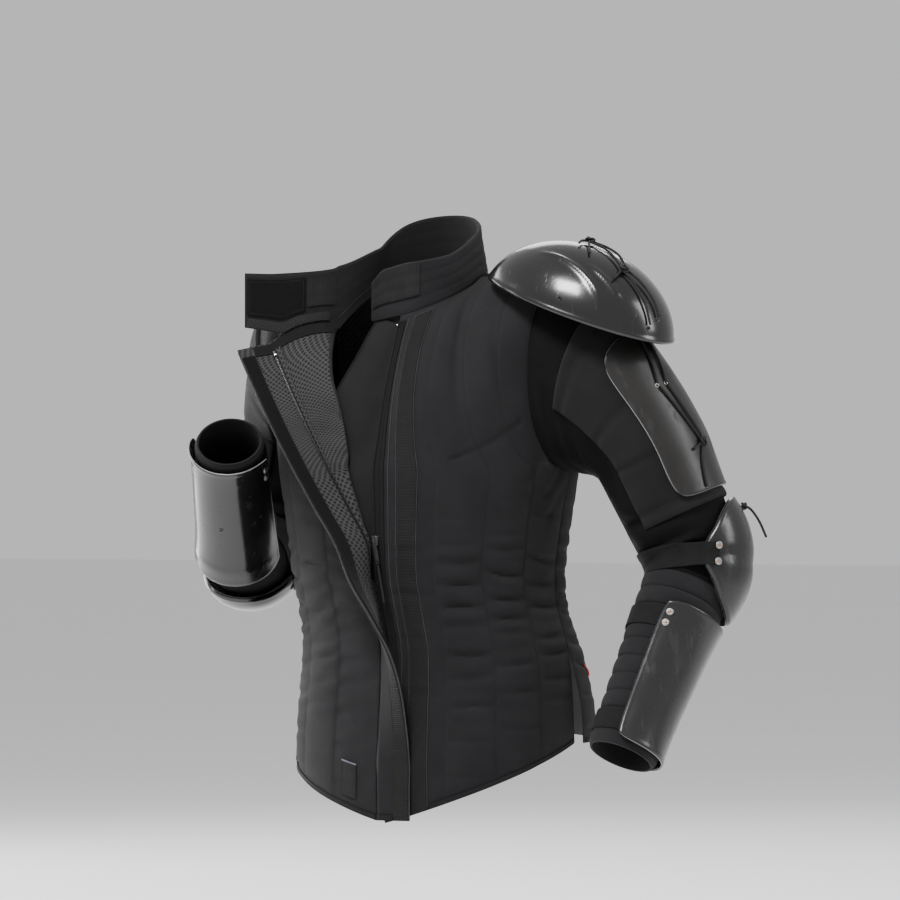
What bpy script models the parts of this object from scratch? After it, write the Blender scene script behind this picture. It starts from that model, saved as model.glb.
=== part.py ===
"""Padded fencing jacket, worn and half open, with plastic guards laced and strapped to its sleeves.

Metres, +Z up. The wearer faces -Y and the wearer's left is +X. The origin is at the base of the neck.
The cloth is a thin wall over a body of named sizes. A grid of points gives the inner face of each
panel, and its outer face is the same points moved out, with the quilting raised in them.
"""

import math

import bmesh
import bpy
import numpy as np
from mathutils import Matrix, Vector

# Walls and clearances
GAP = 0.0003
SEAT = 0.0004
CLOTH = 0.0022
QUILT_RISE = 0.0032
COLLAR_WALL = 0.004
TAPE = 0.0012
PLATE = 0.0028

# The body from the hem up to the armpit. The columns are heights at the front, side and back, half
# the width, and how far the front and back stand from the middle.
BODY_LEVELS = {
    "hem": (-0.622, -0.528, -0.520, 0.178, -0.134, 0.160),
    "hip": (-0.552, -0.482, -0.476, 0.176, -0.134, 0.148),
    "below waist": (-0.462, -0.424, -0.420, 0.171, -0.127, 0.118),
    "waist": (-0.380, -0.362, -0.362, 0.165, -0.122, 0.100),
    "ribs": (-0.292, -0.284, -0.284, 0.173, -0.129, 0.104),
    "armpit": (-0.205, -0.205, -0.200, 0.187, -0.133, 0.113),
}
FRONT_Z, SIDE_Z, BACK_Z, HALF_WIDTH, FRONT_Y, BACK_Y = range(6)
SQUARENESS = 2.25
SEAM_Y = 0.003
HIP_SWAY = 0.017
SWAY_FROM = -0.32
SWAY_TO = -0.44
VENT_TOP = -0.39
VENT_LOW = -0.50
VENT_SHARE = 0.45
VENT_FLARE = 0.013

# Neck, shoulder and armhole
NECK_FRONT = np.array([0.0, -0.067, -0.020])
NECK_BACK = np.array([0.0, 0.062, 0.038])
NECK_SIDE = {1: np.array([0.070, SEAM_Y, 0.025]), -1: np.array([-0.077, SEAM_Y, 0.017])}
SHOULDER = np.array([0.181, SEAM_Y, 0.021])
NECK_COLUMN = 7
RIGHT_NECK_COLUMN = 6
ARMHOLE_DEPTH = 0.072
ARMHOLE_NARROWING = 0.013
CHEST_RISE = 0.005
BLADE_RISE = 0.010
SHOULDER_RISE = 0.012

# Rows and columns of the panels. The armhole rows are also the sleeve's columns, front and back.
LOW_ROWS = 10
HIGH_ROWS = 7
CHANNELS = 4
CHANNEL_COLUMNS = 4
HALF_COLUMNS = CHANNELS * CHANNEL_COLUMNS
NECK_SHARE = NECK_COLUMN / HALF_COLUMNS
RIGHT_NECK_SHARE = RIGHT_NECK_COLUMN / HALF_COLUMNS
AROUND = 2 * HIGH_ROWS

# The right front: where it rolls back, its zip edge, and the fly past the zip
ZIP_STOP = np.array([-0.156, -0.114, -0.052])
SLIDER_END = np.array([-0.007, -0.139, -0.288])
ZIP_BOW = 0.010
FLY_WIDTH = 0.040
FLY_LIFT = 0.0068
FLY_SAG = 0.0020
ROLL_ROOT = -0.013
ROLL_LOW = {"zipped": (-0.620, ROLL_ROOT), "slider": (-0.300, ROLL_ROOT),
            "above": (-0.264, -0.021), "armpit": (-0.205, -0.038)}
# The roll line above the armpit: how far up to the shoulder, and how far across to the armhole
ROLL_HIGH = {"armpit": (0.0, 0.10), "chest": (0.13, 0.122), "upper chest": (0.28, 0.157),
             "below collar bone": (0.42, 0.213), "collar bone": (0.58, 0.325), "neck seam": (0.73, 0.47)}
# How far the columns below the neck keep to the armhole side of the collar seam
BESIDE_NECK = 1.5
# How far the fly is turned back, in degrees, at heights along the front edge
FLY_TURN = {"hem": (-0.620, 0), "over": (-0.550, 0), "lifting": (-0.482, 20), "lifted": (-0.434, 40),
            "rising": (-0.400, 60), "standing": (-0.355, 84), "past": (-0.326, 100),
            "slider": (-0.288, 128), "above": (-0.264, 135), "top": (-0.040, 138)}
FLY_DROP = -0.22
RISE_FROM = -0.40
ROLL_SOFTNESS = 0.015
TURN_COLUMNS = 6
FLY_COLUMNS = 4

# How far across the guard flap reaches, at levels of the body
UNDERLAP_EDGE = {"waist": (0.70, 0.30), "armpit": (1.0, 0.36), "chest": (1.3, 0.31),
                 "upper chest": (1.48, 0.225), "collar bone": (1.70, 0.165), "neck": (1.95, 0.14)}
UNDERLAP_ROWS = 10
UNDERLAP_COLUMNS = 8
UNDERLAP_TUCK = 0.10
UNDERLAP_DEPTH = 0.0030
ZIP_WALL = 0.0016
ZIP_SEAT = 0.0008
HEM_SHARE = 0.21
EDGE = 0.06
BESIDE = 0.1

# Where the strips on the panels start above the hem and stop below the neck, in rows, and the columns
# that they take
STRIP_LOW = 0.3
STRIP_HIGH = 0.35
ZIP_HIGH = 0.15
FLY_HIGH = 0.1
HOOK_COLUMNS = (1.4, 2.75)
ZIP_LEFT_COLUMNS = (0.03, 0.38)
ZIP_RIGHT_IN = 0.3
ZIP_RIGHT_OUT = 0.28
LOOP_COLUMNS = 1.7
BAND_COLUMNS = 1.95
LABEL_ROWS = (0.5, 1.75)
LABEL_COLUMNS = (13.3, 14.6)
TAG_ROWS = (3.1, 3.6)
TAG_COLUMNS = (29.0, 29.8)

# Collar, named along its seam from the left end: its column, the height of its top edge and its lean
COLLAR = {
    "left end": (0, 0.020, 0.000),
    "left corner": (1, 0.034, 0.002),
    "left zip": (3, 0.042, 0.004),
    "left front": (7, 0.053, 0.006),
    "left side": (10, 0.076, 0.008),
    "left back": (13.5, 0.096, 0.009),
    "back": (17, 0.102, 0.010),
    "right back": (20.5, 0.093, 0.009),
    "right side": (24, 0.064, 0.006),
    "roll": (30, 0.040, 0.002),
    "right zip": (35, 0.031, 0.000),
    "right end": (38, 0.031, 0.000),
}
TAB_COLUMNS = 3
LEFT_TAB = 0.040
RIGHT_TAB = 0.046
COLLAR_SEAM_COLUMNS = 5
COLLAR_ROWS = 4
COLLAR_SEAT = 0.0006
COLLAR_INSET = 0.0014

# Arms: where the straight sleeve starts, the middle of the sleeve at the elbow, the cuff, the radius of
# the elbow's bend and the direction that the elbow points
ARMS = {
    1: {"start": (0.285, 0.031, -0.190), "elbow": (0.3285, 0.0497, -0.312),
        "end": (0.300, -0.070, -0.540), "bend_radius": 0.075, "away": (0.66, 0.75, -0.01),
        "elbow_rows": 6, "fore_rows": 20, "upper_rows": 4},
    -1: {"start": (-0.240, 0.078, -0.165), "elbow": (-0.2762, 0.0624, -0.3009),
         "end": (-0.2030, -0.1300, -0.170), "bend_radius": 0.062, "away": (-0.31, 0.53, -0.79),
         "elbow_rows": 8, "fore_rows": 16, "upper_rows": 3},
}
SLEEVE_RADII = {1: (0.064, 0.057, 0.049, 0.037), -1: (0.056, 0.050, 0.042, 0.037)}
SHOULDER_ROWS = 7
ELBOW_DRIFT = 0.4
LIFT_OFF = 0.010
FORE_RIDGE = 0.0028

# Guards
CAP_CENTRE = np.array([0.2010, 0.002, -0.0256])
CAP_TILT = math.radians(20)
CAP_SIZE = {"along": 0.122, "across": 0.088, "height": 0.088}
CAP_RINGS = 5
CAP_RIM = 82
CAP_TOP = 14
CAP_LACE = ((0.02, 0.06), (0.25, 0.02), (0.50, -0.01), (0.75, -0.05), (0.93, -0.10))
LACE_GAP = 0.0006
CAP_SEGMENTS = 20
PAD_WALL = 0.0045
# Where the elbow cup and the forearm guard face, in degrees round from the elbow's outer side
FACING = {1: (18, 28), -1: (0, 0)}
CUP_REACH = {1: 0.078, -1: 0.090}
CUP_TURN = 80
CUP_RINGS = (1.0, 0.86, 0.66, 0.40)
ELBOW_STRAP = 0.030
STRAP_END = 0.80
STRAP_SETTLE = 0.30
STRAP_SEAT = {1: 0.0018, -1: 0.0008}
PLATE_LACE = {"knot": (3.9, 7.55), "first eye": (5.2, 7.9), "second eye": (6.6, 8.25), "crossing": (8.0, 8.2),
              "edge": (9.3, 7.9)}
GUARD_START = {1: 3.3, -1: -0.6}
STRAP_START = {1: 4.2, -1: 2.4}
STRAP_ROWS = 2.3
CUP_LIFT = 0.0062
CUP_BULGE = 0.011
GUARD_REACH = 96
GUARD_FLARE = 0.003
RIVET_RADIUS = 0.0045
RIVET_DEPTH = 0.0016
RIVET_SEAT = 0.0005
RIVET_CELL = 0.5
# How far across the strap under them the guard's two rivets stand
RIVET_SHARES = {1: (0.25, 0.8), -1: (0.1, 0.6)}
LACE_RADIUS = 0.0015
STRAP_LIFT = FORE_RIDGE + SEAT
PLATE_LIFT = STRAP_LIFT + TAPE + SEAT

# Zip slider and its pull
SLIDER_SIZE = (0.0085, 0.0032, 0.0115)
SLIDER_CENTRE = np.array([0.0035, -0.1360, -0.2875])
PULL_TILT = math.radians(11)
PULL_SIZE = (0.0060, 0.0015, 0.030)
HINGE_STANDOFF = 0.0013
HINGE_INSET = 0.0006
CORD_RADIUS = 0.0012
CORD_LENGTH = 0.045


# Tools

def finish(name, colour, roughness, metallic=0.0):
    material = bpy.data.materials.new(name)
    material.use_nodes = True
    shader = material.node_tree.nodes["Principled BSDF"]
    shader.inputs["Base Color"].default_value = (*colour, 1.0)
    shader.inputs["Roughness"].default_value = roughness
    shader.inputs["Metallic"].default_value = metallic
    return material


def keep(name, mesh, material):
    """Adds the mesh to the jacket as a named object."""
    mesh.materials.append(material)
    made = bpy.data.objects.new(name, mesh)
    JACKET.objects.link(made)
    return made


def smooth_rows(table, places, around=False):
    """The table's rows read at fractional places, on a smooth curve through them."""
    table = np.asarray(table, float)
    count = len(table)
    places = np.atleast_1d(np.asarray(places, float))
    first = np.floor(places).astype(int)
    if not around:
        first = np.clip(first, 0, count - 2)
    t = (places - first).reshape((-1,) + (1,) * (table.ndim - 1))

    def row(shift):
        index = first + shift
        return table[index % count] if around else table[np.clip(index, 0, count - 1)]

    before, start, end, after = row(-1), row(0), row(1), row(2)
    if not around:
        inside = (first > 0).reshape(t.shape)
        before = np.where(inside, before, 2 * start - end)
        inside = (first < count - 2).reshape(t.shape)
        after = np.where(inside, after, 2 * end - start)
    slope_in = (end - before) / 2
    slope_out = (after - start) / 2
    return (start * (2 * t**3 - 3 * t**2 + 1) + slope_in * (t**3 - 2 * t**2 + t)
            + end * (3 * t**2 - 2 * t**3) + slope_out * (t**3 - t**2))


def read_grid(grid, rows, columns, around=False):
    """A grid of points read at fractional rows and columns, on smooth curves."""
    along = smooth_rows(grid, rows)
    return smooth_rows(along.swapaxes(0, 1), columns, around).swapaxes(0, 1)


def read_flat(grid, rows, columns, around=False):
    """A grid of points read at fractional rows and columns, on its own flat facets."""
    rows, columns = np.asarray(rows, float), np.asarray(columns, float)
    row = np.clip(np.floor(rows).astype(int), 0, len(grid) - 2)
    column = np.floor(columns).astype(int)
    if not around:
        column = np.clip(column, 0, grid.shape[1] - 2)
    down, across = (rows - row)[:, None, None], (columns - column)[None, :, None]
    column, beyond = column % grid.shape[1], (column + 1) % grid.shape[1]
    start, ahead = grid[row][:, column], grid[row][:, beyond]
    below, far = grid[row + 1][:, column], grid[row + 1][:, beyond]
    upper = start + (ahead - start) * across + (far - ahead) * down
    lower = start + (below - start) * down + (far - below) * across
    return np.where(across >= down, upper, lower)


def places(start, stop, step=1.0):
    """From start to stop through every whole step between, so that facets line up with the panel's."""
    inner = np.arange(math.floor(start / step) + 1, math.ceil(stop / step)) * step
    return np.concatenate([[start], inner, [stop]])


def normals_of(grid, sign=1.0, around=False):
    """Unit normals of a grid, from its steps across a row and along a column."""
    if around:
        wide = np.concatenate([grid[:, -1:], grid, grid[:, :1]], axis=1)
        across = wide[:, 2:] - wide[:, :-2]
    else:
        across = np.gradient(grid, axis=1)
    normal = np.cross(across, np.gradient(grid, axis=0))
    return sign * normal / np.linalg.norm(normal, axis=2, keepdims=True)


def unit(vector):
    vector = np.asarray(vector, float)
    return vector / np.linalg.norm(vector)


def mixed(table, value):
    """A dictionary of (place, value) rows read between its places."""
    rows = np.array(list(table.values()))
    return np.interp(value, rows[:, 0], rows[:, 1])


def wall(name, inner, outer, material, around=False):
    """A closed wall between two grids of points, with its edges closed."""
    rows, columns = inner.shape[:2]
    index = np.arange(rows * columns).reshape(rows, columns)

    def sheet(cells):
        if around:
            cells = np.concatenate([cells, cells[:, :1]], axis=1)
        a, b, c, d = cells[:-1, :-1], cells[:-1, 1:], cells[1:, 1:], cells[1:, :-1]
        upper, lower = np.stack([a, b, c], -1), np.stack([a, c, d], -1)
        return np.concatenate([upper.reshape(-1, 3), lower.reshape(-1, 3)])

    def edge(line):
        near, far = line[:-1], line[1:]
        near_out, far_out = near + rows * columns, far + rows * columns
        return np.concatenate([np.stack([near, near_out, far_out], -1), np.stack([near, far_out, far], -1)])

    if around:
        lines = [np.append(index[0], index[0, 0]), np.append(index[-1], index[-1, 0])[::-1]]
    else:
        lines = [np.concatenate([index[0], index[1:, -1], index[-1, -2::-1], index[-2::-1, 0]])]
    faces = [sheet(index)[:, ::-1], sheet(index) + rows * columns] + [edge(line) for line in lines]
    mesh = bpy.data.meshes.new(name)
    points = np.concatenate([inner.reshape(-1, 3), outer.reshape(-1, 3)])
    mesh.from_pydata(points.tolist(), [], np.concatenate(faces).tolist())
    cleaned = bmesh.new()
    cleaned.from_mesh(mesh)
    bmesh.ops.recalc_face_normals(cleaned, faces=cleaned.faces)
    cleaned.to_mesh(mesh)
    cleaned.free()
    return keep(name, mesh, material)


def strip_on(name, face, normals, rows, columns, material, lift=SEAT, thick=TAPE, around=False):
    """A piece sewn on a panel: the panel's own points, moved out by lift and then by its thickness."""
    base = read_flat(face, rows, columns, around)
    out = read_flat(normals, rows, columns, around)
    out /= np.linalg.norm(out, axis=2, keepdims=True)
    return wall(name, base + out * lift, base + out * (lift + thick), material)


def plate(name, grid, outward, material):
    """A moulded sheet: an open surface with Solidify, which grows along its outward normals."""
    rows, columns = grid.shape[:2]
    index = np.arange(rows * columns).reshape(rows, columns)
    quads = np.stack([index[:-1, :-1], index[:-1, 1:], index[1:, 1:], index[1:, :-1]], -1).reshape(-1, 4)
    middle = normals_of(grid)[rows // 2, columns // 2]
    if middle @ outward < 0:
        quads = quads[:, ::-1]
    mesh = bpy.data.meshes.new(name)
    mesh.from_pydata(grid.reshape(-1, 3).tolist(), [], quads.tolist())
    made = keep(name, mesh, material)
    thicken(made)
    return made


def dome(name, rings, crown, outward, material):
    """A moulded dome: rings from the rim up, closed at its crown, with Solidify outwards."""
    count, around = rings.shape[:2]
    index = np.arange(count * around).reshape(count, around)
    ahead = np.roll(index, -1, axis=1)
    faces = np.stack([index[:-1], ahead[:-1], ahead[1:], index[1:]], -1).reshape(-1, 4).tolist()
    faces += [[a, b, count * around] for a, b in zip(index[-1], ahead[-1])]
    first = rings[0, 0]
    turn = np.cross(rings[0, 1] - first, rings[1, 0] - first)
    if turn @ outward < 0:
        faces = [face[::-1] for face in faces]
    mesh = bpy.data.meshes.new(name)
    mesh.from_pydata(rings.reshape(-1, 3).tolist() + [crown.tolist()], [], faces)
    made = keep(name, mesh, material)
    thicken(made)
    return made


def thicken(made):
    solidify = made.modifiers.new("Wall", "SOLIDIFY")
    solidify.thickness = PLATE
    solidify.offset = 1.0
    made.data.shade_smooth()


def cord(name, route, radius, material):
    """A lace or cord: a tube on a smooth curve through its route's points."""
    route = np.asarray(route, float)
    length = np.linalg.norm(np.diff(route, axis=0), axis=1).sum()
    count = max(4, round(length / (7 * radius)))
    points = smooth_rows(route, np.linspace(0, len(route) - 1, count))
    curve = bpy.data.curves.new(name, "CURVE")
    curve.dimensions = "3D"
    curve.bevel_depth = radius
    curve.bevel_resolution = 1
    curve.use_fill_caps = True
    spline = curve.splines.new("POLY")
    spline.points.add(len(points) - 1)
    for place, point in zip(spline.points, points):
        place.co = (*point, 1.0)
    curve.materials.append(material)
    made = bpy.data.objects.new(name, curve)
    JACKET.objects.link(made)
    return made


# The body's surface, left half

def body_row(v, u, front):
    """The body at level v, from 0 at the hem to 1 at the armpit, and u from the centre to the side."""
    level = smooth_rows(list(BODY_LEVELS.values()), np.ravel(v) * (len(BODY_LEVELS) - 1))
    level = level.reshape(np.shape(v) + (6,))
    turn = u * math.pi / 2
    reach = level[..., FRONT_Y if front else BACK_Y] - SEAM_Y
    centre_z = level[..., FRONT_Z if front else BACK_Z]
    bow = 2 / SQUARENESS
    x = level[..., HALF_WIDTH] * np.sin(turn) ** bow
    y = SEAM_Y + reach * np.clip(np.cos(turn), 0, 1) ** bow
    z = centre_z + (level[..., SIDE_Z] - centre_z) * u
    return np.stack([x, y, z], -1)


def blended(ends, t):
    return ends[0] * (1 - t) + ends[1] * t


def neck_and_shoulder(u, front, side):
    """The top edge: the neckline from the centre to the shoulder seam, then the seam."""
    centre = NECK_FRONT if front else NECK_BACK
    neck = NECK_SIDE[side] * (side, 1, 1)
    t = np.clip(u / NECK_SHARE, 0, 1)
    turn = t * math.pi / 2
    x = neck[0] * np.sin(turn)
    y = neck[1] + (centre[1] - neck[1]) * np.cos(turn)
    z = centre[2] + (neck[2] - centre[2]) * t**1.3
    seam = np.clip((u - NECK_SHARE) / (1 - NECK_SHARE), 0, 1)[..., None]
    return np.stack([x, y, z], -1) + (SHOULDER - neck) * seam


def armhole(q, front):
    """The armhole's edge, from the armpit at 0 to the shoulder at 1."""
    armpit = body_row(np.array(1.0), np.array(1.0), front)
    turn = q * math.pi
    x = armpit[0] + (SHOULDER[0] - armpit[0]) * q - ARMHOLE_NARROWING * np.sin(turn)
    y = SEAM_Y + (-1 if front else 1) * ARMHOLE_DEPTH * np.sin(turn)
    z = armpit[2] + (SHOULDER[2] - armpit[2]) * (1 - np.cos(turn)) / 2
    return np.stack([x, y, z], -1)


def centre_line(q, front):
    """The centre of the chest or back, from the armpit's level up to the neckline."""
    start = body_row(np.array(1.0), np.array(0.0), front)
    end = NECK_FRONT if front else NECK_BACK
    line = blended((start, end), q[..., None])
    line[..., 1] += (-CHEST_RISE if front else BLADE_RISE) * np.sin(q * math.pi)
    return line


def patch(q, u, bottom, top, near, far):
    """A surface through four edges. Each edge is a function of q or u."""
    flat_q, flat_u = q[..., None], u[..., None]
    zero, one = np.zeros_like(u), np.ones_like(u)
    between = blended((near(q), far(q)), flat_u) + blended((bottom(u), top(u)), flat_q)
    low_corners = blended((bottom(zero), bottom(one)), flat_u)
    high_corners = blended((top(zero), top(one)), flat_u)
    return between - blended((low_corners, high_corners), flat_q)


def body(v, u, front, side=1):
    """The left half of the body. v is 0 at the hem, 1 at the armpit and 2 at the neck and shoulder."""
    low = body_row(np.minimum(v, 1), u, front)
    q = np.clip(v - 1, 0, 1)
    high = patch(q, u, lambda at: body_row(np.ones_like(at), at, front),
                 lambda at: neck_and_shoulder(at, front, side),
                 lambda at: centre_line(at, front), lambda at: armhole(at, front))
    high += shoulder_fullness(q, u, front)
    return np.where((v > 1)[..., None], high, low)


def shoulder_fullness(q, u, front):
    """Fills the hollow between the chest and the shoulder seam."""
    fill = SHOULDER_RISE * np.sin(q * math.pi) * np.sin(u * math.pi)
    return np.stack([0 * fill, (-fill if front else fill), fill * 0.6], -1)


def sway(points):
    """The hips stand a little to the wearer's left."""
    t = np.clip((points[..., 2] - SWAY_FROM) / (SWAY_TO - SWAY_FROM), 0, 1)
    moved = points.copy()
    moved[..., 0] += HIP_SWAY * t * t * (3 - 2 * t)
    return moved


def flared(points, share):
    """Below the waist the back spreads past the fronts, where the side seams are left open."""
    t = np.clip((points[..., 2] - VENT_TOP) / (VENT_LOW - VENT_TOP), 0, 1)
    near_side = np.clip((share - VENT_SHARE) / (1 - VENT_SHARE), 0, 1)
    moved = points.copy()
    moved[..., 0] += VENT_FLARE * t * t * (3 - 2 * t) * near_side**2
    return moved


def panel_rows():
    low = np.linspace(0, 1, LOW_ROWS + 1)
    high = 1 + np.linspace(0, 1, HIGH_ROWS + 1)[1:]
    return np.concatenate([low, high])


def quilting(u, v):
    """The rise of the padded channels between their stitch lines, flat beside the zip and at the edges."""
    rise = np.abs(np.sin(u * math.pi * CHANNELS)) ** 0.7
    rise = np.where(u < 1 / CHANNELS, 0, rise)
    ends = np.clip(v / 0.06, 0.25, 1) * np.clip((2 - v) / 0.14, 0, 1)
    return QUILT_RISE * rise * ends


def half_panel(front, side):
    """One half of the front or back: its inner face, normals and rise, from the centre to the side."""
    v, u = np.meshgrid(panel_rows(), np.linspace(0, 1, HALF_COLUMNS + 1), indexing="ij")
    inner = body(v, u, front, side)
    if not front:
        inner = flared(inner, u)
    normals = normals_of(inner, 1 if front else -1)
    for edge in (normals[: LOW_ROWS + 1, -1], normals[-1, NECK_COLUMN:]):
        edge[:, 1] = 0
        edge /= np.linalg.norm(edge, axis=1, keepdims=True)
    normals[:, 0, 0] = 0
    normals[:, 0] /= np.linalg.norm(normals[:, 0], axis=1, keepdims=True)
    rise = quilting(u, v)
    if not front:
        rise = np.where(u < 1 / CHANNELS, quilting(u + 1 / CHANNELS, v), rise)
    # The seam plane parts the front from the back
    inner[: LOW_ROWS + 1, -1, 1] = SEAM_Y
    step = np.array([0, -GAP if front else GAP, 0])
    inner[: LOW_ROWS + 1, -1] += step
    inner[-1, NECK_COLUMN:] += step
    inner[LOW_ROWS + 1:-1, -1] += step
    flip = (side, 1, 1)
    return sway(inner * flip), normals * flip, rise


# The cloth of the body

def make_front_left():
    inner, normals, rise = half_panel(True, 1)
    outer = inner + normals * (CLOTH + rise)[..., None]
    wall("front_left", inner, outer, SHELL)
    return inner, outer, normals


def make_back():
    left, left_normals, left_rise = half_panel(False, 1)
    right, right_normals, right_rise = half_panel(False, -1)
    inner = np.concatenate([right[:, :0:-1], left], axis=1)
    normals = np.concatenate([right_normals[:, :0:-1], left_normals], axis=1)
    rise = np.concatenate([right_rise[:, :0:-1], left_rise], axis=1)
    outer = inner + normals * (CLOTH + rise)[..., None]
    wall("back", inner, outer, SHELL)
    return inner, outer, normals


def roll_share(v):
    """The share of the half row that the roll line takes, at levels below the armpit."""
    level = smooth_rows(list(BODY_LEVELS.values()), v * (len(BODY_LEVELS) - 1))
    x = -mixed(ROLL_LOW, level[:, FRONT_Z])
    return np.arcsin((x / level[:, HALF_WIDTH]) ** (SQUARENESS / 2)) / (math.pi / 2)


def right_body(v, u):
    """The right front from the roll line to the side, mirrored to +X while it is worked out.

    Above the armpit it is the body's surface between the roll line, the armhole and the shoulder, so its
    places there are worked out in the surface's own two coordinates."""
    levels = np.minimum(v[:, 0], 1)
    start = roll_share(levels)
    share = start[:, None] + (1 - start[:, None]) * u
    low = body_row(np.minimum(v, 1), share, True)
    line = np.array(list(ROLL_HIGH.values()))
    last = start[-1]

    def roll(q):
        return smooth_rows(line, q.ravel() * (len(line) - 1)).reshape(q.shape + (2,))

    def armpit_row(at):
        return np.stack([0 * at, last + (1 - last) * at], -1)

    def top_row(at):
        neck = np.clip(at / RIGHT_NECK_SHARE, 0, 1)
        shoulder = np.clip((at - RIGHT_NECK_SHARE) / (1 - RIGHT_NECK_SHARE), 0, 1)
        up = line[-1, 0] + (1 - line[-1, 0]) * neck
        across = line[-1, 1] + (NECK_SHARE - line[-1, 1]) * neck + (1 - NECK_SHARE) * shoulder
        return np.stack([up, across], -1)

    def armhole_side(at):
        return np.stack([at, 0 * at + 1], -1)

    q = np.clip(v - 1, 0, 1)
    place = patch(q, u, armpit_row, top_row, roll, armhole_side)
    place[..., 1] += BESIDE_NECK * q**3 * (1 - q) * np.sin(math.pi * np.sqrt(u))
    high = body(1 + np.clip(place[..., 0], 0, 1), place[..., 1], True, -1)
    upper = v > 1
    return np.where(upper[..., None], high, low), np.where(upper, place[..., 1], share)


def zip_edge(height, top_height, rows):
    """The right front's zip line: over the centre up to the slider, then along the open zip to its stop."""
    open_share = np.clip((height - SLIDER_END[2]) / (top_height - SLIDER_END[2]), 0, 1)[:, None]
    opened = blended((SLIDER_END, ZIP_STOP), open_share)
    opened[:, 1:2] -= ZIP_BOW * np.sin(open_share * math.pi)
    centre_y = body_row(np.minimum(rows, 1), np.zeros_like(rows), True)[:, 1]
    slider_y = np.interp(SLIDER_END[2], height, centre_y)
    standing = SLIDER_END + np.stack([0 * height, centre_y - slider_y, height - SLIDER_END[2]], -1)
    closed = np.stack([0 * height - 0.004, centre_y - FLY_LIFT, height], -1)
    rising = np.clip((height - RISE_FROM) / (SLIDER_END[2] - RISE_FROM), 0, 1)[:, None]
    below = blended((closed, standing), rising * rising * (3 - 2 * rising))
    return np.where((height < SLIDER_END[2])[:, None], below, opened), open_share


def make_front_right():
    rows = panel_rows()
    v, u = np.meshgrid(rows, np.linspace(0, 1, HALF_COLUMNS + 1), indexing="ij")
    on_body, share = right_body(v, u)
    on_body[: LOW_ROWS + 1, -1, 1] = SEAM_Y
    on_body[:, -1, 1] -= GAP
    on_body[-1, RIGHT_NECK_COLUMN:-1, 1] -= GAP
    on_body *= (-1, 1, 1)
    root = on_body[:, 0]
    height = root[:, 2]
    zip_line, open_share = zip_edge(height, height[-1], rows)

    # The fly turns from lying over the left front to pointing away from it
    turn = np.radians(mixed(FLY_TURN, height))
    fly = np.stack([np.cos(turn), -np.sin(turn), FLY_DROP * open_share[:, 0]], -1)
    fly /= np.linalg.norm(fly, axis=1, keepdims=True)

    # From the body to the zip edge the cloth turns over on a soft curve
    leaving = on_body[:, 0] - on_body[:, 1]
    leaving /= np.linalg.norm(leaving, axis=1, keepdims=True)
    reach = np.linalg.norm(zip_line - root, axis=1, keepdims=True)
    first = root + leaving * np.minimum(reach * 0.35, ROLL_SOFTNESS)
    second = zip_line - fly * reach * 0.35
    beyond = []
    for t in np.linspace(0, 1, TURN_COLUMNS + 1)[1:]:
        turned = (root * (1 - t) ** 3 + first * 3 * t * (1 - t) ** 2
                  + second * 3 * t * t * (1 - t) + zip_line * t**3)
        turned[:, 2] = height + (zip_line[:, 2] - height) * t**3
        beyond.append(turned)
    for t in np.linspace(0, 1, FLY_COLUMNS + 1)[1:]:
        lying = np.stack([0 * turn, FLY_SAG * t * t * np.cos(turn).clip(0), 0 * turn], -1)
        beyond.append(zip_line + fly * FLY_WIDTH * t + lying)

    inner = sway(np.concatenate([on_body[:, ::-1], np.stack(beyond, axis=1)], axis=1))
    normals = normals_of(inner)
    for edge in (normals[: LOW_ROWS + 1, 0], normals[-1, : HALF_COLUMNS + 1 - RIGHT_NECK_COLUMN]):
        edge[:, 1] = 0
        edge /= np.linalg.norm(edge, axis=1, keepdims=True)
    neck_seam = slice(HALF_COLUMNS + 1 - RIGHT_NECK_COLUMN, HALF_COLUMNS + 1)
    normals[-1, neck_seam] = normals[-2, neck_seam]
    rise = quilting(share, v)[:, ::-1] * np.clip(np.arange(HALF_COLUMNS + 1)[::-1] / 3, 0, 1)
    flat = np.zeros((len(rows), TURN_COLUMNS + FLY_COLUMNS))
    outer = inner + normals * (CLOTH + np.concatenate([rise, flat], axis=1))[..., None]
    wall("front_right", inner, outer, SHELL)
    return inner, outer, normals


def make_underlap():
    """The inner guard flap: the body's own surface behind the zip, carried across to the wearer's right."""
    levels = [level for level, reach in UNDERLAP_EDGE.values()]
    rows = np.linspace(levels[0], levels[-1], UNDERLAP_ROWS)
    edge = mixed(UNDERLAP_EDGE, rows)
    share = np.linspace(0, 1, UNDERLAP_COLUMNS)
    u = -UNDERLAP_TUCK + (edge[:, None] + UNDERLAP_TUCK) * share
    v = np.repeat(rows[:, None], len(share), axis=1)
    points = body(v, np.abs(u), True)
    points[..., 0] *= -np.sign(u)
    normals = normals_of(points, -1)
    outer = sway(points) - normals * UNDERLAP_DEPTH
    wall("underlap", outer - normals * CLOTH, outer, LINING)


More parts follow.
